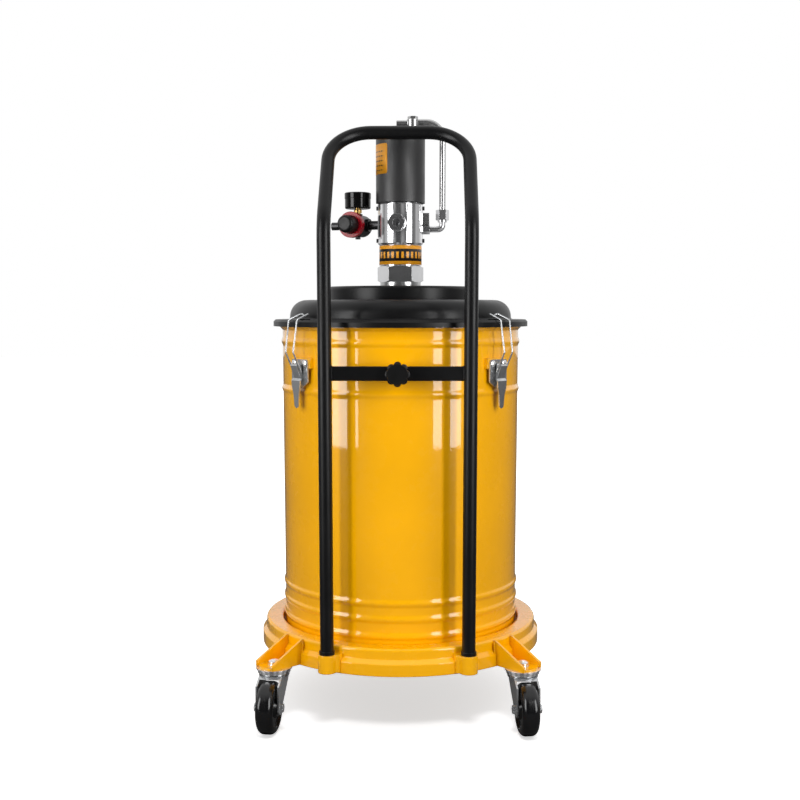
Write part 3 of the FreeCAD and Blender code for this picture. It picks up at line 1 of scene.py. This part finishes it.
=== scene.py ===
"""Looks of the air-operated drum pump: materials, labels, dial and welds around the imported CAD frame."""

import json
import math

import bpy
from mathutils import Matrix, Vector, noise

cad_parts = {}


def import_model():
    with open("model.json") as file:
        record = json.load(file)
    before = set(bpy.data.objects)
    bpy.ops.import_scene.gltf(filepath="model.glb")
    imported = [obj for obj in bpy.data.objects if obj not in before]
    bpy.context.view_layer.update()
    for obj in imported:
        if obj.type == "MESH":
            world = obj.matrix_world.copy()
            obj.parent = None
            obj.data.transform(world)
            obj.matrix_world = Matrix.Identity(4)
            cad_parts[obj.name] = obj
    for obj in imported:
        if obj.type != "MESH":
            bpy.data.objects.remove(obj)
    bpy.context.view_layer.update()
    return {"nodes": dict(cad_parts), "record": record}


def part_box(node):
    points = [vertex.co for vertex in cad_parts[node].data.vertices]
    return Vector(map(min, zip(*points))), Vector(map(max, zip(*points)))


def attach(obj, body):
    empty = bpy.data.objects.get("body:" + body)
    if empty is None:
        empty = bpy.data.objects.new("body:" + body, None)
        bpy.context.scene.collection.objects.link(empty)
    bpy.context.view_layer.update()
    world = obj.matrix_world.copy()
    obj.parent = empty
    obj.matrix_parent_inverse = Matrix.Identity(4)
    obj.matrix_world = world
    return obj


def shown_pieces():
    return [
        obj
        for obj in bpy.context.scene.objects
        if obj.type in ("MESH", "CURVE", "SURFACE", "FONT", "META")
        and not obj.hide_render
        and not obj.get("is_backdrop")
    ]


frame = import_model()
NODES = frame["nodes"]

MM = 0.001


def centre(node):
    """The middle of a CAD node's box."""
    low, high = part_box(node)
    return (low + high) / 2


# ---------------------------------------------------------------- shader helpers
class Shader:
    """A node material with one Principled surface."""

    def __init__(self, name):
        self.material = bpy.data.materials.new(name)
        self.material.use_nodes = True
        tree = self.material.node_tree
        self.nodes, self.links = tree.nodes, tree.links
        self.surface = self.nodes["Principled BSDF"]
        self.place = self.add("ShaderNodeTexCoord").outputs["Object"]

    def add(self, kind, **settings):
        """A new node with its settings."""
        node = self.nodes.new(kind)
        for key, value in settings.items():
            setattr(node, key, value)
        return node

    def put(self, target, value):
        """Link a socket, or set a plain value."""
        if isinstance(value, bpy.types.NodeSocket):
            self.links.new(value, target)
        elif value is not None:
            target.default_value = value

    def set(self, **values):
        """Set inputs of the Principled surface, with underscores in place of spaces."""
        for key, value in values.items():
            self.put(self.surface.inputs[key.replace("_", " ")], value)

    def noise(self, scale, detail=3.0, rough=0.5, stretch=None):
        """Noise of so many features per metre, optionally stretched along an axis."""
        node = self.add("ShaderNodeTexNoise")
        node.inputs["Scale"].default_value = scale
        node.inputs["Detail"].default_value = detail
        node.inputs["Roughness"].default_value = rough
        start = self.place
        if stretch:
            mapping = self.add("ShaderNodeMapping")
            mapping.inputs["Scale"].default_value = stretch
            self.links.new(start, mapping.inputs["Vector"])
            start = mapping.outputs["Vector"]
        self.links.new(start, node.inputs["Vector"])
        return node.outputs["Fac"]

    def ramp(self, value, low, high, out_low=0.0, out_high=1.0):
        """Value carried from one range to another and held at its ends."""
        node = self.add("ShaderNodeMapRange")
        node.clamp = True
        for index, item in enumerate((value, low, high, out_low, out_high)):
            self.put(node.inputs[index], item)
        return node.outputs["Result"]

    def math(self, operation, *values):
        """One step of arithmetic on sockets or numbers."""
        node = self.add("ShaderNodeMath", operation=operation)
        for target, value in zip(node.inputs, values):
            self.put(target, value)
        return node.outputs["Value"]

    def mix(self, share, first, second):
        """The first colour at share 0, the second at share 1."""
        node = self.add("ShaderNodeMix", data_type="RGBA")
        self.put(node.inputs["Factor"], share)
        self.put(node.inputs[6], first)
        self.put(node.inputs[7], second)
        return node.outputs[2]

    def bump(self, height, strength, distance, before=None):
        """A normal roughened by a height, on top of an earlier normal."""
        node = self.add("ShaderNodeBump")
        self.put(node.inputs["Height"], height)
        self.put(node.inputs["Strength"], strength)
        self.put(node.inputs["Distance"], distance)
        if before is not None:
            self.links.new(before, node.inputs["Normal"])
        return node.outputs["Normal"]

    def edges(self, radius, low=0.04, high=0.25):
        """1 on outside edges that a hand or a floor would rub, 0 on flats."""
        bevel = self.add("ShaderNodeBevel", samples=4)
        bevel.inputs["Radius"].default_value = radius
        geometry = self.add("ShaderNodeNewGeometry")
        dot = self.add("ShaderNodeVectorMath", operation="DOT_PRODUCT")
        self.links.new(bevel.outputs["Normal"], dot.inputs[0])
        self.links.new(geometry.outputs["Normal"], dot.inputs[1])
        return self.ramp(self.math("SUBTRACT", 1.0, dot.outputs["Value"]), low, high)

    def rounded(self, radius):
        """A normal that looks softly rounded at the edges."""
        bevel = self.add("ShaderNodeBevel", samples=4)
        bevel.inputs["Radius"].default_value = radius
        return bevel.outputs["Normal"]

    def studio(self):
        """Painted reflection: soft stripes across the reflected direction, like the sides of a photographer's
        tent.
        """
        split = self.add("ShaderNodeSeparateXYZ")
        self.links.new(self.add("ShaderNodeTexCoord").outputs["Reflection"], split.inputs[0])
        turn = self.math("ARCTAN2", split.outputs["X"], split.outputs["Y"])
        wave = self.math("SINE", self.math("MULTIPLY", turn, 9.0))
        slow = self.math("SINE", self.math("MULTIPLY_ADD", turn, 3.0, 1.1))
        return self.ramp(self.math("ADD", wave, slow), -0.9, 1.4)

    def axis(self, name):
        """One coordinate of the shaded point."""
        split = self.add("ShaderNodeSeparateXYZ")
        self.links.new(self.place, split.inputs[0])
        return split.outputs[name]


def rgb(red, green, blue):
    """An opaque colour."""
    return (red, green, blue, 1.0)


def paint(name, colour, roughness, coat, peel=0.05, wear=0.35, under=rgb(0.2, 0.2, 0.2), grain=0.0,
          specular=0.5, soft=0.8 * MM):
    """Sprayed or powder-coated paint: orange peel, faint dust and rubbed edges."""
    shader = Shader(name)
    tone = shader.ramp(shader.noise(7.0, 4.0), 0.3, 0.7, 0.93, 1.03)
    hue = shader.add("ShaderNodeHueSaturation")
    shader.put(hue.inputs["Value"], tone)
    shader.put(hue.inputs["Color"], colour)
    rubbed = shader.edges(1.2 * MM)
    patches = shader.ramp(shader.noise(160.0, 5.0, 0.65), 0.55, 0.62)
    worn = shader.math("MULTIPLY", shader.math("MULTIPLY", rubbed, patches), wear)
    shader.set(Base_Color=shader.mix(worn, hue.outputs["Color"], under))
    smudge = shader.ramp(shader.noise(18.0, 6.0, 0.7), 0.35, 0.7, roughness * 0.85, roughness * 1.25)
    shader.set(Roughness=smudge, Coat_Weight=coat, Coat_Roughness=0.03, Coat_IOR=1.65,
               Specular_IOR_Level=specular)
    normal = shader.rounded(soft)
    normal = shader.bump(shader.noise(240.0, 2.0), peel, 0.3 * MM, normal)
    if grain:
        normal = shader.bump(shader.noise(1900.0, 2.0), grain, 0.12 * MM, normal)
    shader.set(Normal=normal, Coat_Normal=normal)
    return shader.material


def metal(name, colour, roughness, brushed=0.0, spots=0.15, stretch=(1, 1, 1), scale=900.0, satin=0.2,
          painted_reflection=0.0):
    """Bare or plated metal: fine brushing, cloudy plating and slightly dulled patches.

    The last argument sets the strength of a faint glow, a painted reflection of the studio's lights. It is a
    look only."""
    shader = Shader(name)
    cloud = shader.noise(60.0, 5.0, 0.6)
    dark = tuple(channel * (1 - spots) for channel in colour[:3]) + (1.0,)
    shader.set(Metallic=1.0 - satin, Base_Color=shader.mix(shader.ramp(cloud, 0.35, 0.7), colour, dark))
    fine = shader.noise(scale, 3.0, 0.6, stretch)
    rough = shader.math("ADD", shader.ramp(cloud, 0.3, 0.7, roughness * 0.8, roughness * 1.2),
                        shader.ramp(fine, 0.3, 0.7, 0.0, brushed * 0.3))
    shader.set(Roughness=rough)
    normal = shader.rounded(0.35 * MM)
    if brushed:
        normal = shader.bump(fine, brushed, 0.05 * MM, normal)
    # Painted reflection: an emission glow in stripes by reflected direction, kept out of hollows by ambient
    # occlusion.
    if painted_reflection:
        open_air = shader.add("ShaderNodeAmbientOcclusion", samples=4)
        open_air.inputs["Distance"].default_value = 14 * MM
        glow = shader.math("MULTIPLY", shader.studio(), shader.math("POWER", open_air.outputs["AO"], 2.0))
        shader.set(Emission_Color=colour, Emission_Strength=shader.math("MULTIPLY", glow, painted_reflection))
    shader.set(Normal=normal)
    return shader.material


def plastic(name, colour, roughness, grain=0.25, scale=1500.0, sheen=0.0, specular=0.5):
    """Moulded plastic or rubber with a fine spark-eroded grain."""
    shader = Shader(name)
    tone = shader.ramp(shader.noise(40.0, 4.0), 0.3, 0.7, 0.85, 1.2)
    hue = shader.add("ShaderNodeHueSaturation")
    shader.put(hue.inputs["Value"], tone)
    shader.put(hue.inputs["Color"], colour)
    shader.set(Base_Color=hue.outputs["Color"], Sheen_Weight=sheen, Specular_IOR_Level=specular)
    handled = shader.noise(90.0, 5.0, 0.6)
    shader.set(Roughness=shader.ramp(handled, 0.3, 0.7, roughness * 0.85, roughness * 1.15))
    normal = shader.bump(shader.noise(scale, 2.0), grain, 0.08 * MM, shader.rounded(0.5 * MM))
    shader.set(Normal=normal)
    return shader.material


# ---------------------------------------------------------------- materials
YELLOW = rgb(0.92, 0.43, 0.0)
ORANGE = rgb(0.80, 0.33, 0.012)
MATERIALS = {
    "yellow_paint": paint("yellow_paint", YELLOW, 0.26, 1.0, peel=0.045, wear=0.5,
                          under=rgb(0.45, 0.22, 0.05), specular=0.12, soft=2.2 * MM),
    "black_paint": paint("black_paint", rgb(0.0035, 0.0035, 0.0038), 0.34, 0.0, peel=0.05, wear=0.12,
                         under=rgb(0.12, 0.12, 0.12), grain=0.12, specular=0.3),
    "charcoal": paint("charcoal", rgb(0.016, 0.016, 0.0165), 0.42, 0.0, peel=0.03, wear=0.15,
                      under=rgb(0.3, 0.3, 0.3), grain=0.1, specular=0.8),
    "regulator_black": paint("regulator_black", rgb(0.005, 0.005, 0.0055), 0.36, 0.15, peel=0.12, wear=0.3,
                             under=rgb(0.3, 0.3, 0.3), grain=0.15, specular=0.35),
    "red_ring": paint("red_ring", rgb(0.26, 0.002, 0.008), 0.26, 0.2, peel=0.03, wear=0.1, specular=0.2),
    # Zinc, steel and chrome get a painted reflection, a faint emission glow in stripes.
    "zinc": metal("zinc", rgb(0.62, 0.63, 0.64), 0.18, brushed=0.12, spots=0.3, satin=0.08, painted_reflection=0.22),
    "steel": metal("steel", rgb(0.60, 0.60, 0.60), 0.20, brushed=0.18, stretch=(1, 1, 0.04), satin=0.08,
                   painted_reflection=0.26),
    "chrome": metal("chrome", rgb(0.80, 0.80, 0.81), 0.08, brushed=0.02, spots=0.06, satin=0.06, painted_reflection=0.42),
    "dark_steel": metal("dark_steel", rgb(0.06, 0.06, 0.062), 0.30, brushed=0.15, spots=0.35),
    "brass": metal("brass", rgb(0.78, 0.50, 0.16), 0.22, brushed=0.12, spots=0.25),
    "knob_plastic": plastic("knob_plastic", rgb(0.003, 0.003, 0.003), 0.40, grain=0.3, specular=0.35),
    "wheel_plastic": plastic("wheel_plastic", rgb(0.004, 0.004, 0.0045), 0.16, grain=0.08, specular=0.6),
    "gauge_black": plastic("gauge_black", rgb(0.003, 0.003, 0.003), 0.12, grain=0.04, specular=0.4),
    "gasket": plastic("gasket", rgb(0.008, 0.008, 0.008), 0.6, grain=0.4, sheen=0.2),
    "dial_white": plastic("dial_white", rgb(0.80, 0.80, 0.78), 0.45, grain=0.03),
    "pointer_red": plastic("pointer_red", rgb(0.55, 0.012, 0.008), 0.35, grain=0.03),
}


def clear_lens():
    """Clear plastic window of the gauge."""
    shader = Shader("lens")
    shader.set(Base_Color=rgb(0.97, 0.98, 0.98), Roughness=0.03, IOR=1.49, Transmission_Weight=1.0)
    faint = shader.bump(shader.noise(25.0, 2.0), 0.05, 0.2 * MM)
    shader.set(Normal=faint)
    return shader.material


MATERIALS["lens"] = clear_lens()

SLOTS = {item["node"]: item["material_slot"] for item in frame["record"]["subparts"]}
for node_name, node_object in NODES.items():
    finish = MATERIALS[SLOTS[node_name]]
    if node_object.material_slots:
        for place in node_object.material_slots:
            place.material = finish
    else:
        node_object.data.materials.append(finish)


# ---------------------------------------------------------------- decals, dial and welds
def piece(name, vertices, faces, body, material, smooth=True):
    """A new mesh in the row frame that rides on a CAD body."""
    mesh = bpy.data.meshes.new(name)
    mesh.from_pydata(vertices, [], faces)
    mesh.validate()
    mesh.update()
    for face in mesh.polygons:
        face.use_smooth = smooth
    mesh.materials.append(material)
    item = bpy.data.objects.new(name, mesh)
    bpy.context.scene.collection.objects.link(item)
    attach(item, body)
    return item


def around(angle, radius, height):
    """A point at an angle from the handle side, positive towards +X."""
    turn = math.radians(angle)
    return (radius * math.sin(turn), -radius * math.cos(turn), height)


def wrapped(name, radius, thick, columns, body, material, closed=False):
    """A foil round the pump's axis: columns of (angle, low, high) between two radii."""
    vertices, faces = [], []
    for angle, low, high in columns:
        vertices += [around(angle, radius, low), around(angle, radius, high),
                     around(angle, radius + thick, high), around(angle, radius + thick, low)]
    count = len(columns)
    for index in range(count if closed else count - 1):
        here, there = 4 * index, 4 * ((index + 1) % count)
        for side in range(4):
            across = (side + 1) % 4
            faces.append((here + side, here + across, there + across, there + side))
    if not closed:
        last = 4 * (count - 1)
        faces += [(3, 2, 1, 0), (last, last + 1, last + 2, last + 3)]
    return piece(name, vertices, faces, body, material)


def printed(name, base, ink, mask):
    """Vinyl label: a base colour with ink where mask(shader) is 1."""
    shader = Shader(name)
    scuff = shader.ramp(shader.noise(260.0, 5.0, 0.65), 0.62, 0.72, 0.0, 0.25)
    tone = shader.mix(mask(shader), base, ink)
    shader.set(Base_Color=shader.mix(scuff, tone, rgb(0.45, 0.36, 0.22)))
    shader.set(Roughness=shader.ramp(shader.noise(60.0, 4.0), 0.3, 0.7, 0.28, 0.42))
    shader.set(Normal=shader.bump(shader.noise(500.0, 3.0), 0.08, 0.05 * MM))
    return shader.material


def between(shader, value, low, high, soft):
    """1 from low to high and 0 outside, with soft ends."""
    rise = shader.ramp(value, low - soft, low + soft)
    return shader.math("MULTIPLY", rise, shader.ramp(value, high - soft, high + soft, 1.0, 0.0))


def turn_of(shader):
    """Angle about the pump's axis from the handle side, in radians."""
    away = shader.math("MULTIPLY", shader.axis("Y"), -1.0)
    return shader.math("ARCTAN2", shader.axis("X"), away)


BAND_LOW, BAND_HIGH, BAND_EDGE = 0.6648, 0.6932, 0.0052
BAND_RADIUS = 32.02 * MM
STICKER_LOW, STICKER_HIGH, STICKER_MARGIN = 0.798, 0.842, 0.005
STICKER_LEFT, STICKER_RIGHT = -93.0, -31.0
STICKER_RADIUS = 37.02 * MM
FOIL = 0.15 * MM


def band_mask(shader):
    """Black middle with a row of plain bars in the base colour."""
    height = shader.axis("Z")
    middle = between(shader, height, BAND_LOW + BAND_EDGE, BAND_HIGH - BAND_EDGE, 0.1 * MM)
    rows = between(shader, height, BAND_LOW + 9.5 * MM, BAND_HIGH - 9.5 * MM, 0.1 * MM)
    step = shader.math("FRACT", shader.math("MULTIPLY_ADD", turn_of(shader), 4.2, 20.0))
    bars = shader.math("MULTIPLY", rows, between(shader, step, 0.25, 0.75, 0.02))
    return shader.math("MULTIPLY", middle, shader.math("SUBTRACT", 1.0, bars))


def sticker_mask(shader):
    """Five rows of short dark dashes in place of words."""
    line = shader.math("FRACT", shader.math("MULTIPLY", shader.axis("Z"), 145.0))
    rows = between(shader, line, 0.36, 0.62, 0.04)
    turn = turn_of(shader)
    dash = between(shader, shader.math("FRACT", shader.math("MULTIPLY_ADD", turn, 7.0, 20.3)), 0.1, 0.8, 0.03)
    field = between(shader, turn, math.radians(-84), math.radians(-42), 0.01)
    inside = between(shader, shader.axis("Z"), STICKER_LOW + STICKER_MARGIN, STICKER_HIGH - STICKER_MARGIN,
                     0.1 * MM)
    dashes = shader.math("MULTIPLY", rows, dash)
    return shader.math("MULTIPLY", dashes, shader.math("MULTIPLY", field, inside))


def labels():
    """A band round the neck and a rounded sticker on the motor, both without words."""
    band = printed("band_vinyl", ORANGE, rgb(0.006, 0.006, 0.006), band_mask)
    ring = [(angle, BAND_LOW, BAND_HIGH) for angle in range(0, 360, 4)]
    wrapped("neck_band", BAND_RADIUS, FOIL, ring, "frame", band, closed=True)
    vinyl = printed("sticker_vinyl", ORANGE, rgb(0.02, 0.012, 0.004), sticker_mask)
    corner, steps, mm_per_radian = 3.0, 40, 37
    columns = []
    for step in range(steps + 1):
        angle = STICKER_LEFT + (STICKER_RIGHT - STICKER_LEFT) * step / steps
        inset = min(angle - STICKER_LEFT, STICKER_RIGHT - angle) * math.radians(mm_per_radian)
        if inset < corner:
            cut = (corner - math.sqrt(corner ** 2 - (corner - inset) ** 2)) * MM
        else:
            cut = 0.0
        columns.append((angle, STICKER_LOW + cut, STICKER_HIGH - cut))
    wrapped("motor_sticker", STICKER_RADIUS, FOIL, columns, "frame", vinyl)


def block(low, high):
    """Vertices and faces of a box between two corners."""
    spots = [(x, y, z) for z in (low[2], high[2]) for y in (low[1], high[1]) for x in (low[0], high[0])]
    return spots, [(0, 2, 3, 1), (4, 5, 7, 6), (0, 1, 5, 4), (1, 3, 7, 5), (3, 2, 6, 7), (2, 0, 4, 6)]


def dial_marks():
    """Ticks and figures of the pressure gauge, 0.1 mm thick, set on the top of the dial's box."""
    middle = centre("gauge_dial")
    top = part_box("gauge_dial")[1].z
    ink = plastic("dial_ink", rgb(0.006, 0.006, 0.006), 0.5, grain=0.05)
    vertices, faces = [], []
    for step in range(51):
        long = step % 5 == 0
        spots, sides = block((-0.25 * MM if long else -0.13 * MM, (12.2 if long else 13.4) * MM, 0.0),
                             (0.25 * MM if long else 0.13 * MM, 15.0 * MM, 0.1 * MM))
        turn = Matrix.Rotation(math.radians(135 - 5.4 * step), 3, "Z")
        start = len(vertices)
        for spot in spots:
            vertices.append(tuple(turn @ Vector(spot) + Vector((middle.x, middle.y, top))))
        faces += [tuple(start + corner for corner in side) for side in sides]
    piece("dial_ticks", vertices, faces, "frame", ink, smooth=False)
    for number in range(0, 11, 2):
        text = bpy.data.curves.new("dial_figure_%d" % number, "FONT")
        text.body = str(number)
        text.size, text.extrude = 4.0 * MM, 0.05 * MM
        text.align_x = text.align_y = "CENTER"
        text.materials.append(ink)
        figure = bpy.data.objects.new(text.name, text)
        angle = math.radians(225 - 27 * number)
        figure.location = (middle.x + 9.3 * MM * math.cos(angle), middle.y + 9.3 * MM * math.sin(angle),
                           top + 0.05 * MM)
        bpy.context.scene.collection.objects.link(figure)
        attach(figure, "frame")


def weld(name, points, size, material):
    """A lumpy bead of weld along straight runs between points."""
    vertices, faces = [], []
    around_bead = 8
    rings = []
    for first, last in zip(points, points[1:]):
        run = Vector(last) - Vector(first)
        count = max(int(run.length / (0.9 * MM)), 2)
        rings += [(Vector(first) + run * (step / count), run.normalized()) for step in range(count)]
    rings.append((Vector(points[-1]), run.normalized()))
    for index, (spot, along) in enumerate(rings):
        ripple = 1.0 + 0.22 * math.sin(index * 2.1) + 0.25 * noise.noise(spot * 300.0)
        taper = 0.45 if index in (0, len(rings) - 1) else 1.0
        side = along.orthogonal().normalized()
        other = along.cross(side)
        for corner in range(around_bead):
            turn = 2 * math.pi * corner / around_bead
            out = side * math.cos(turn) + other * math.sin(turn)
            vertices.append(tuple(spot + out * size * ripple * taper))
    for index in range(len(rings) - 1):
        for corner in range(around_bead):
            here, there = index * around_bead, (index + 1) * around_bead
            after = (corner + 1) % around_bead
            faces.append((here + corner, here + after, there + after, there + corner))
    faces.append(tuple(reversed(range(around_bead))))
    faces.append(tuple(range(len(vertices) - around_bead, len(vertices))))
    piece(name, vertices, faces, "frame", material)


def spin(point, angle):
    """Turn a point about the drum's axis."""
    turn = math.radians(angle)
    x, y, z = point
    return (x * math.cos(turn) - y * math.sin(turn), x * math.sin(turn) + y * math.cos(turn), z)


CROSSBAR_END, CROSSBAR_FACE, CROSSBAR_REAR = 90.6 * MM, -203.4 * MM, -196.8 * MM
CROSSBAR_LOW, CROSSBAR_HIGH, CROSSBAR_TOP = 502.5 * MM, 519.5 * MM, 520.8 * MM
BRACKET_SIDE = 20.6 * MM
BRACKET_FOOT_RADIUS, BRACKET_FOOT = 213.4 * MM, 90.5 * MM
BRACKET_HEAD_RADIUS, BRACKET_HEAD = 211.4 * MM, 121.5 * MM
BRACKETS = {"front_left": 223.9, "front_right": -43.9, "rear_left": 136.1, "rear_right": 43.9}


def welds():
    """Beads at the ends of the crossbar and along both sides of each caster bracket."""
    yellow, black = MATERIALS["yellow_paint"], MATERIALS["black_paint"]
    for side, word in ((-1, "left"), (1, "right")):
        x = CROSSBAR_END * side
        front = [(x, CROSSBAR_FACE, CROSSBAR_LOW), (x, CROSSBAR_FACE, CROSSBAR_HIGH)]
        above = [(x, CROSSBAR_FACE, CROSSBAR_TOP), (x, CROSSBAR_REAR, CROSSBAR_TOP)]
        weld("weld_crossbar_" + word, front, 1.3 * MM, black)
        weld("weld_crossbar_top_" + word, above, 1.2 * MM, black)
    for corner, angle in BRACKETS.items():
        for side, word in ((-1, "a"), (1, "b")):
            foot = (BRACKET_FOOT_RADIUS, side * BRACKET_SIDE, BRACKET_FOOT)
            head = (BRACKET_HEAD_RADIUS, side * BRACKET_SIDE, BRACKET_HEAD)
            run = [spin(foot, angle), spin(head, angle)]
            weld("weld_bracket_%s_%s" % (corner, word), run, 1.3 * MM, yellow)


labels()
dial_marks()
welds()


# ---------------------------------------------------------------- stage, light and camera
def stage():
    """Pale floor, brighter to the camera than to the object, with a glow that grows into the white."""
    mesh = bpy.data.meshes.new("floor")
    reach = 12.0
    mesh.from_pydata([(-reach, -reach, 0), (reach, -reach, 0), (reach, reach, 0), (-reach, reach, 0)], [],
                     [(0, 1, 2, 3)])
    floor = bpy.data.objects.new("floor", mesh)
    bpy.context.scene.collection.objects.link(floor)
    floor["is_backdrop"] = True
    shader = Shader("floor_white")
    camera_only = shader.add("ShaderNodeLightPath").outputs["Is Camera Ray"]
    tone = shader.mix(camera_only, rgb(0.16, 0.16, 0.16), rgb(1.1, 1.1, 1.1))
    shader.set(Base_Color=tone, Roughness=0.95, Specular_IOR_Level=0.0)
    away = shader.add("ShaderNodeVectorMath", operation="LENGTH")
    shader.links.new(shader.place, away.inputs[0])
    glow = shader.ramp(away.outputs["Value"], 0.25, 1.1, 0.60, 1.0)
    shader.set(Emission_Color=rgb(1, 1, 1), Emission_Strength=shader.math("MULTIPLY", glow, camera_only))
    mesh.materials.append(shader.material)
    floor_only = bpy.data.collections.new("floor_only")
    floor_only.objects.link(floor)
    return floor_only


def world():
    """White to the camera. To the object it is white behind and above, and dim in front."""
    sky = bpy.data.worlds.new("studio")
    bpy.context.scene.world = sky
    sky.use_nodes = True
    nodes, links = sky.node_tree.nodes, sky.node_tree.links
    output = nodes["World Output"]
    seen = nodes["Background"]
    seen.inputs["Color"].default_value = rgb(1, 1, 1)
    seen.inputs["Strength"].default_value = 1.0
    reflected = nodes.new("ShaderNodeBackground")
    path = nodes.new("ShaderNodeLightPath")
    mix = nodes.new("ShaderNodeMixShader")
    place = nodes.new("ShaderNodeTexCoord")
    split = nodes.new("ShaderNodeSeparateXYZ")
    ramp = nodes.new("ShaderNodeMapRange")
    ramp.interpolation_type = "SMOOTHSTEP"
    links.new(place.outputs["Generated"], split.inputs[0])
    lean = nodes.new("ShaderNodeMath")
    lean.operation = "MULTIPLY_ADD"
    links.new(split.outputs["Z"], lean.inputs[0])
    lean.inputs[1].default_value = 0.85
    links.new(split.outputs["Y"], lean.inputs[2])
    links.new(lean.outputs[0], ramp.inputs[0])
    for index, value in enumerate((-0.25, 0.75, 0.05, 1.0), start=1):
        ramp.inputs[index].default_value = value
    links.new(ramp.outputs["Result"], reflected.inputs["Strength"])
    links.new(path.outputs["Is Camera Ray"], mix.inputs[0])
    links.new(reflected.outputs[0], mix.inputs[1])
    links.new(seen.outputs[0], mix.inputs[2])
    links.new(mix.outputs[0], output.inputs["Surface"])


def softbox(name, azimuth, distance, height, wide, tall, radiance, seen, falls_on, aim=0.97):
    """A rectangular light standing at an azimuth from the handle side, aimed at the object's axis.

    seen says whether it lights surfaces ("diffuse") or shows in them ("glossy").
    falls_on is the collection that it lights."""
    light = bpy.data.lights.new(name, "AREA")
    light.shape = "RECTANGLE"
    light.size, light.size_y = wide, tall
    light.energy = radiance * math.pi * wide * tall
    lamp = bpy.data.objects.new(name, light)
    bpy.context.scene.collection.objects.link(lamp)
    turn = math.radians(azimuth)
    lamp.location = (math.sin(turn) * distance, -math.cos(turn) * distance, height)
    toward = Vector((0, 0, aim)) - lamp.location
    lamp.rotation_euler = toward.to_track_quat("-Z", "Y").to_euler()
    lamp.visible_glossy = seen == "glossy"
    lamp.visible_diffuse = seen == "diffuse"
    lamp.light_linking.receiver_collection = falls_on


def lights(stage_only):
    """Two tall strips that only show in the object, then its side, key and top lights, then the floor's."""
    things = bpy.data.collections.new("object_only")
    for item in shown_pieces():
        things.objects.link(item)
    tent, tent_height, tall = 1.66, 0.97, 1.5
    softbox("strip_left", -50.5, tent, tent_height, 0.77, tall, 5.2, "glossy", things)
    softbox("strip_right", 44, tent, tent_height, 0.80, tall, 5.2, "glossy", things)
    softbox("side_left", -56, tent, tent_height, 0.90, tall, 2.5, "diffuse", things)
    softbox("side_right", 52, tent, tent_height, 0.90, tall, 2.4, "diffuse", things)
    key, key_height, key_width = 1.75, 0.85, 0.16
    softbox("key_left", -33.8, key, key_height, key_width, tall, 18.5, "diffuse", things, aim=0.6)
    softbox("key_right", 35.8, key, key_height, key_width, tall, 18.5, "diffuse", things, aim=0.6)
    top_turn, top, top_height = 4, 1.35, 1.95
    softbox("top_object", top_turn, top, top_height, 1.4, 1.0, 0.9, "diffuse", things, aim=0.3)
    softbox("top_floor", top_turn, top, top_height, 0.45, 0.40, 26.0, "diffuse", stage_only, aim=0.3)


def camera():
    """In front of the handle, a little to the right, level with the drum's rim and tilted down."""
    lens = bpy.data.cameras.new("camera")
    eye = bpy.data.objects.new("camera", lens)
    bpy.context.scene.collection.objects.link(eye)
    lens.sensor_width = 36.0
    lens.lens = 51.09
    lens.shift_x, lens.shift_y = -0.0006, 0.07
    turn, distance, height, tilt = math.radians(1.095), 1.7531, 0.5992, 7.398
    eye.location = (distance * math.sin(turn), -distance * math.cos(turn), height)
    eye.rotation_euler = (math.radians(90 - tilt), 0, turn)
    bpy.context.scene.camera = eye


world()
lights(stage())
camera()
bpy.context.scene.view_settings.view_transform = "Standard"
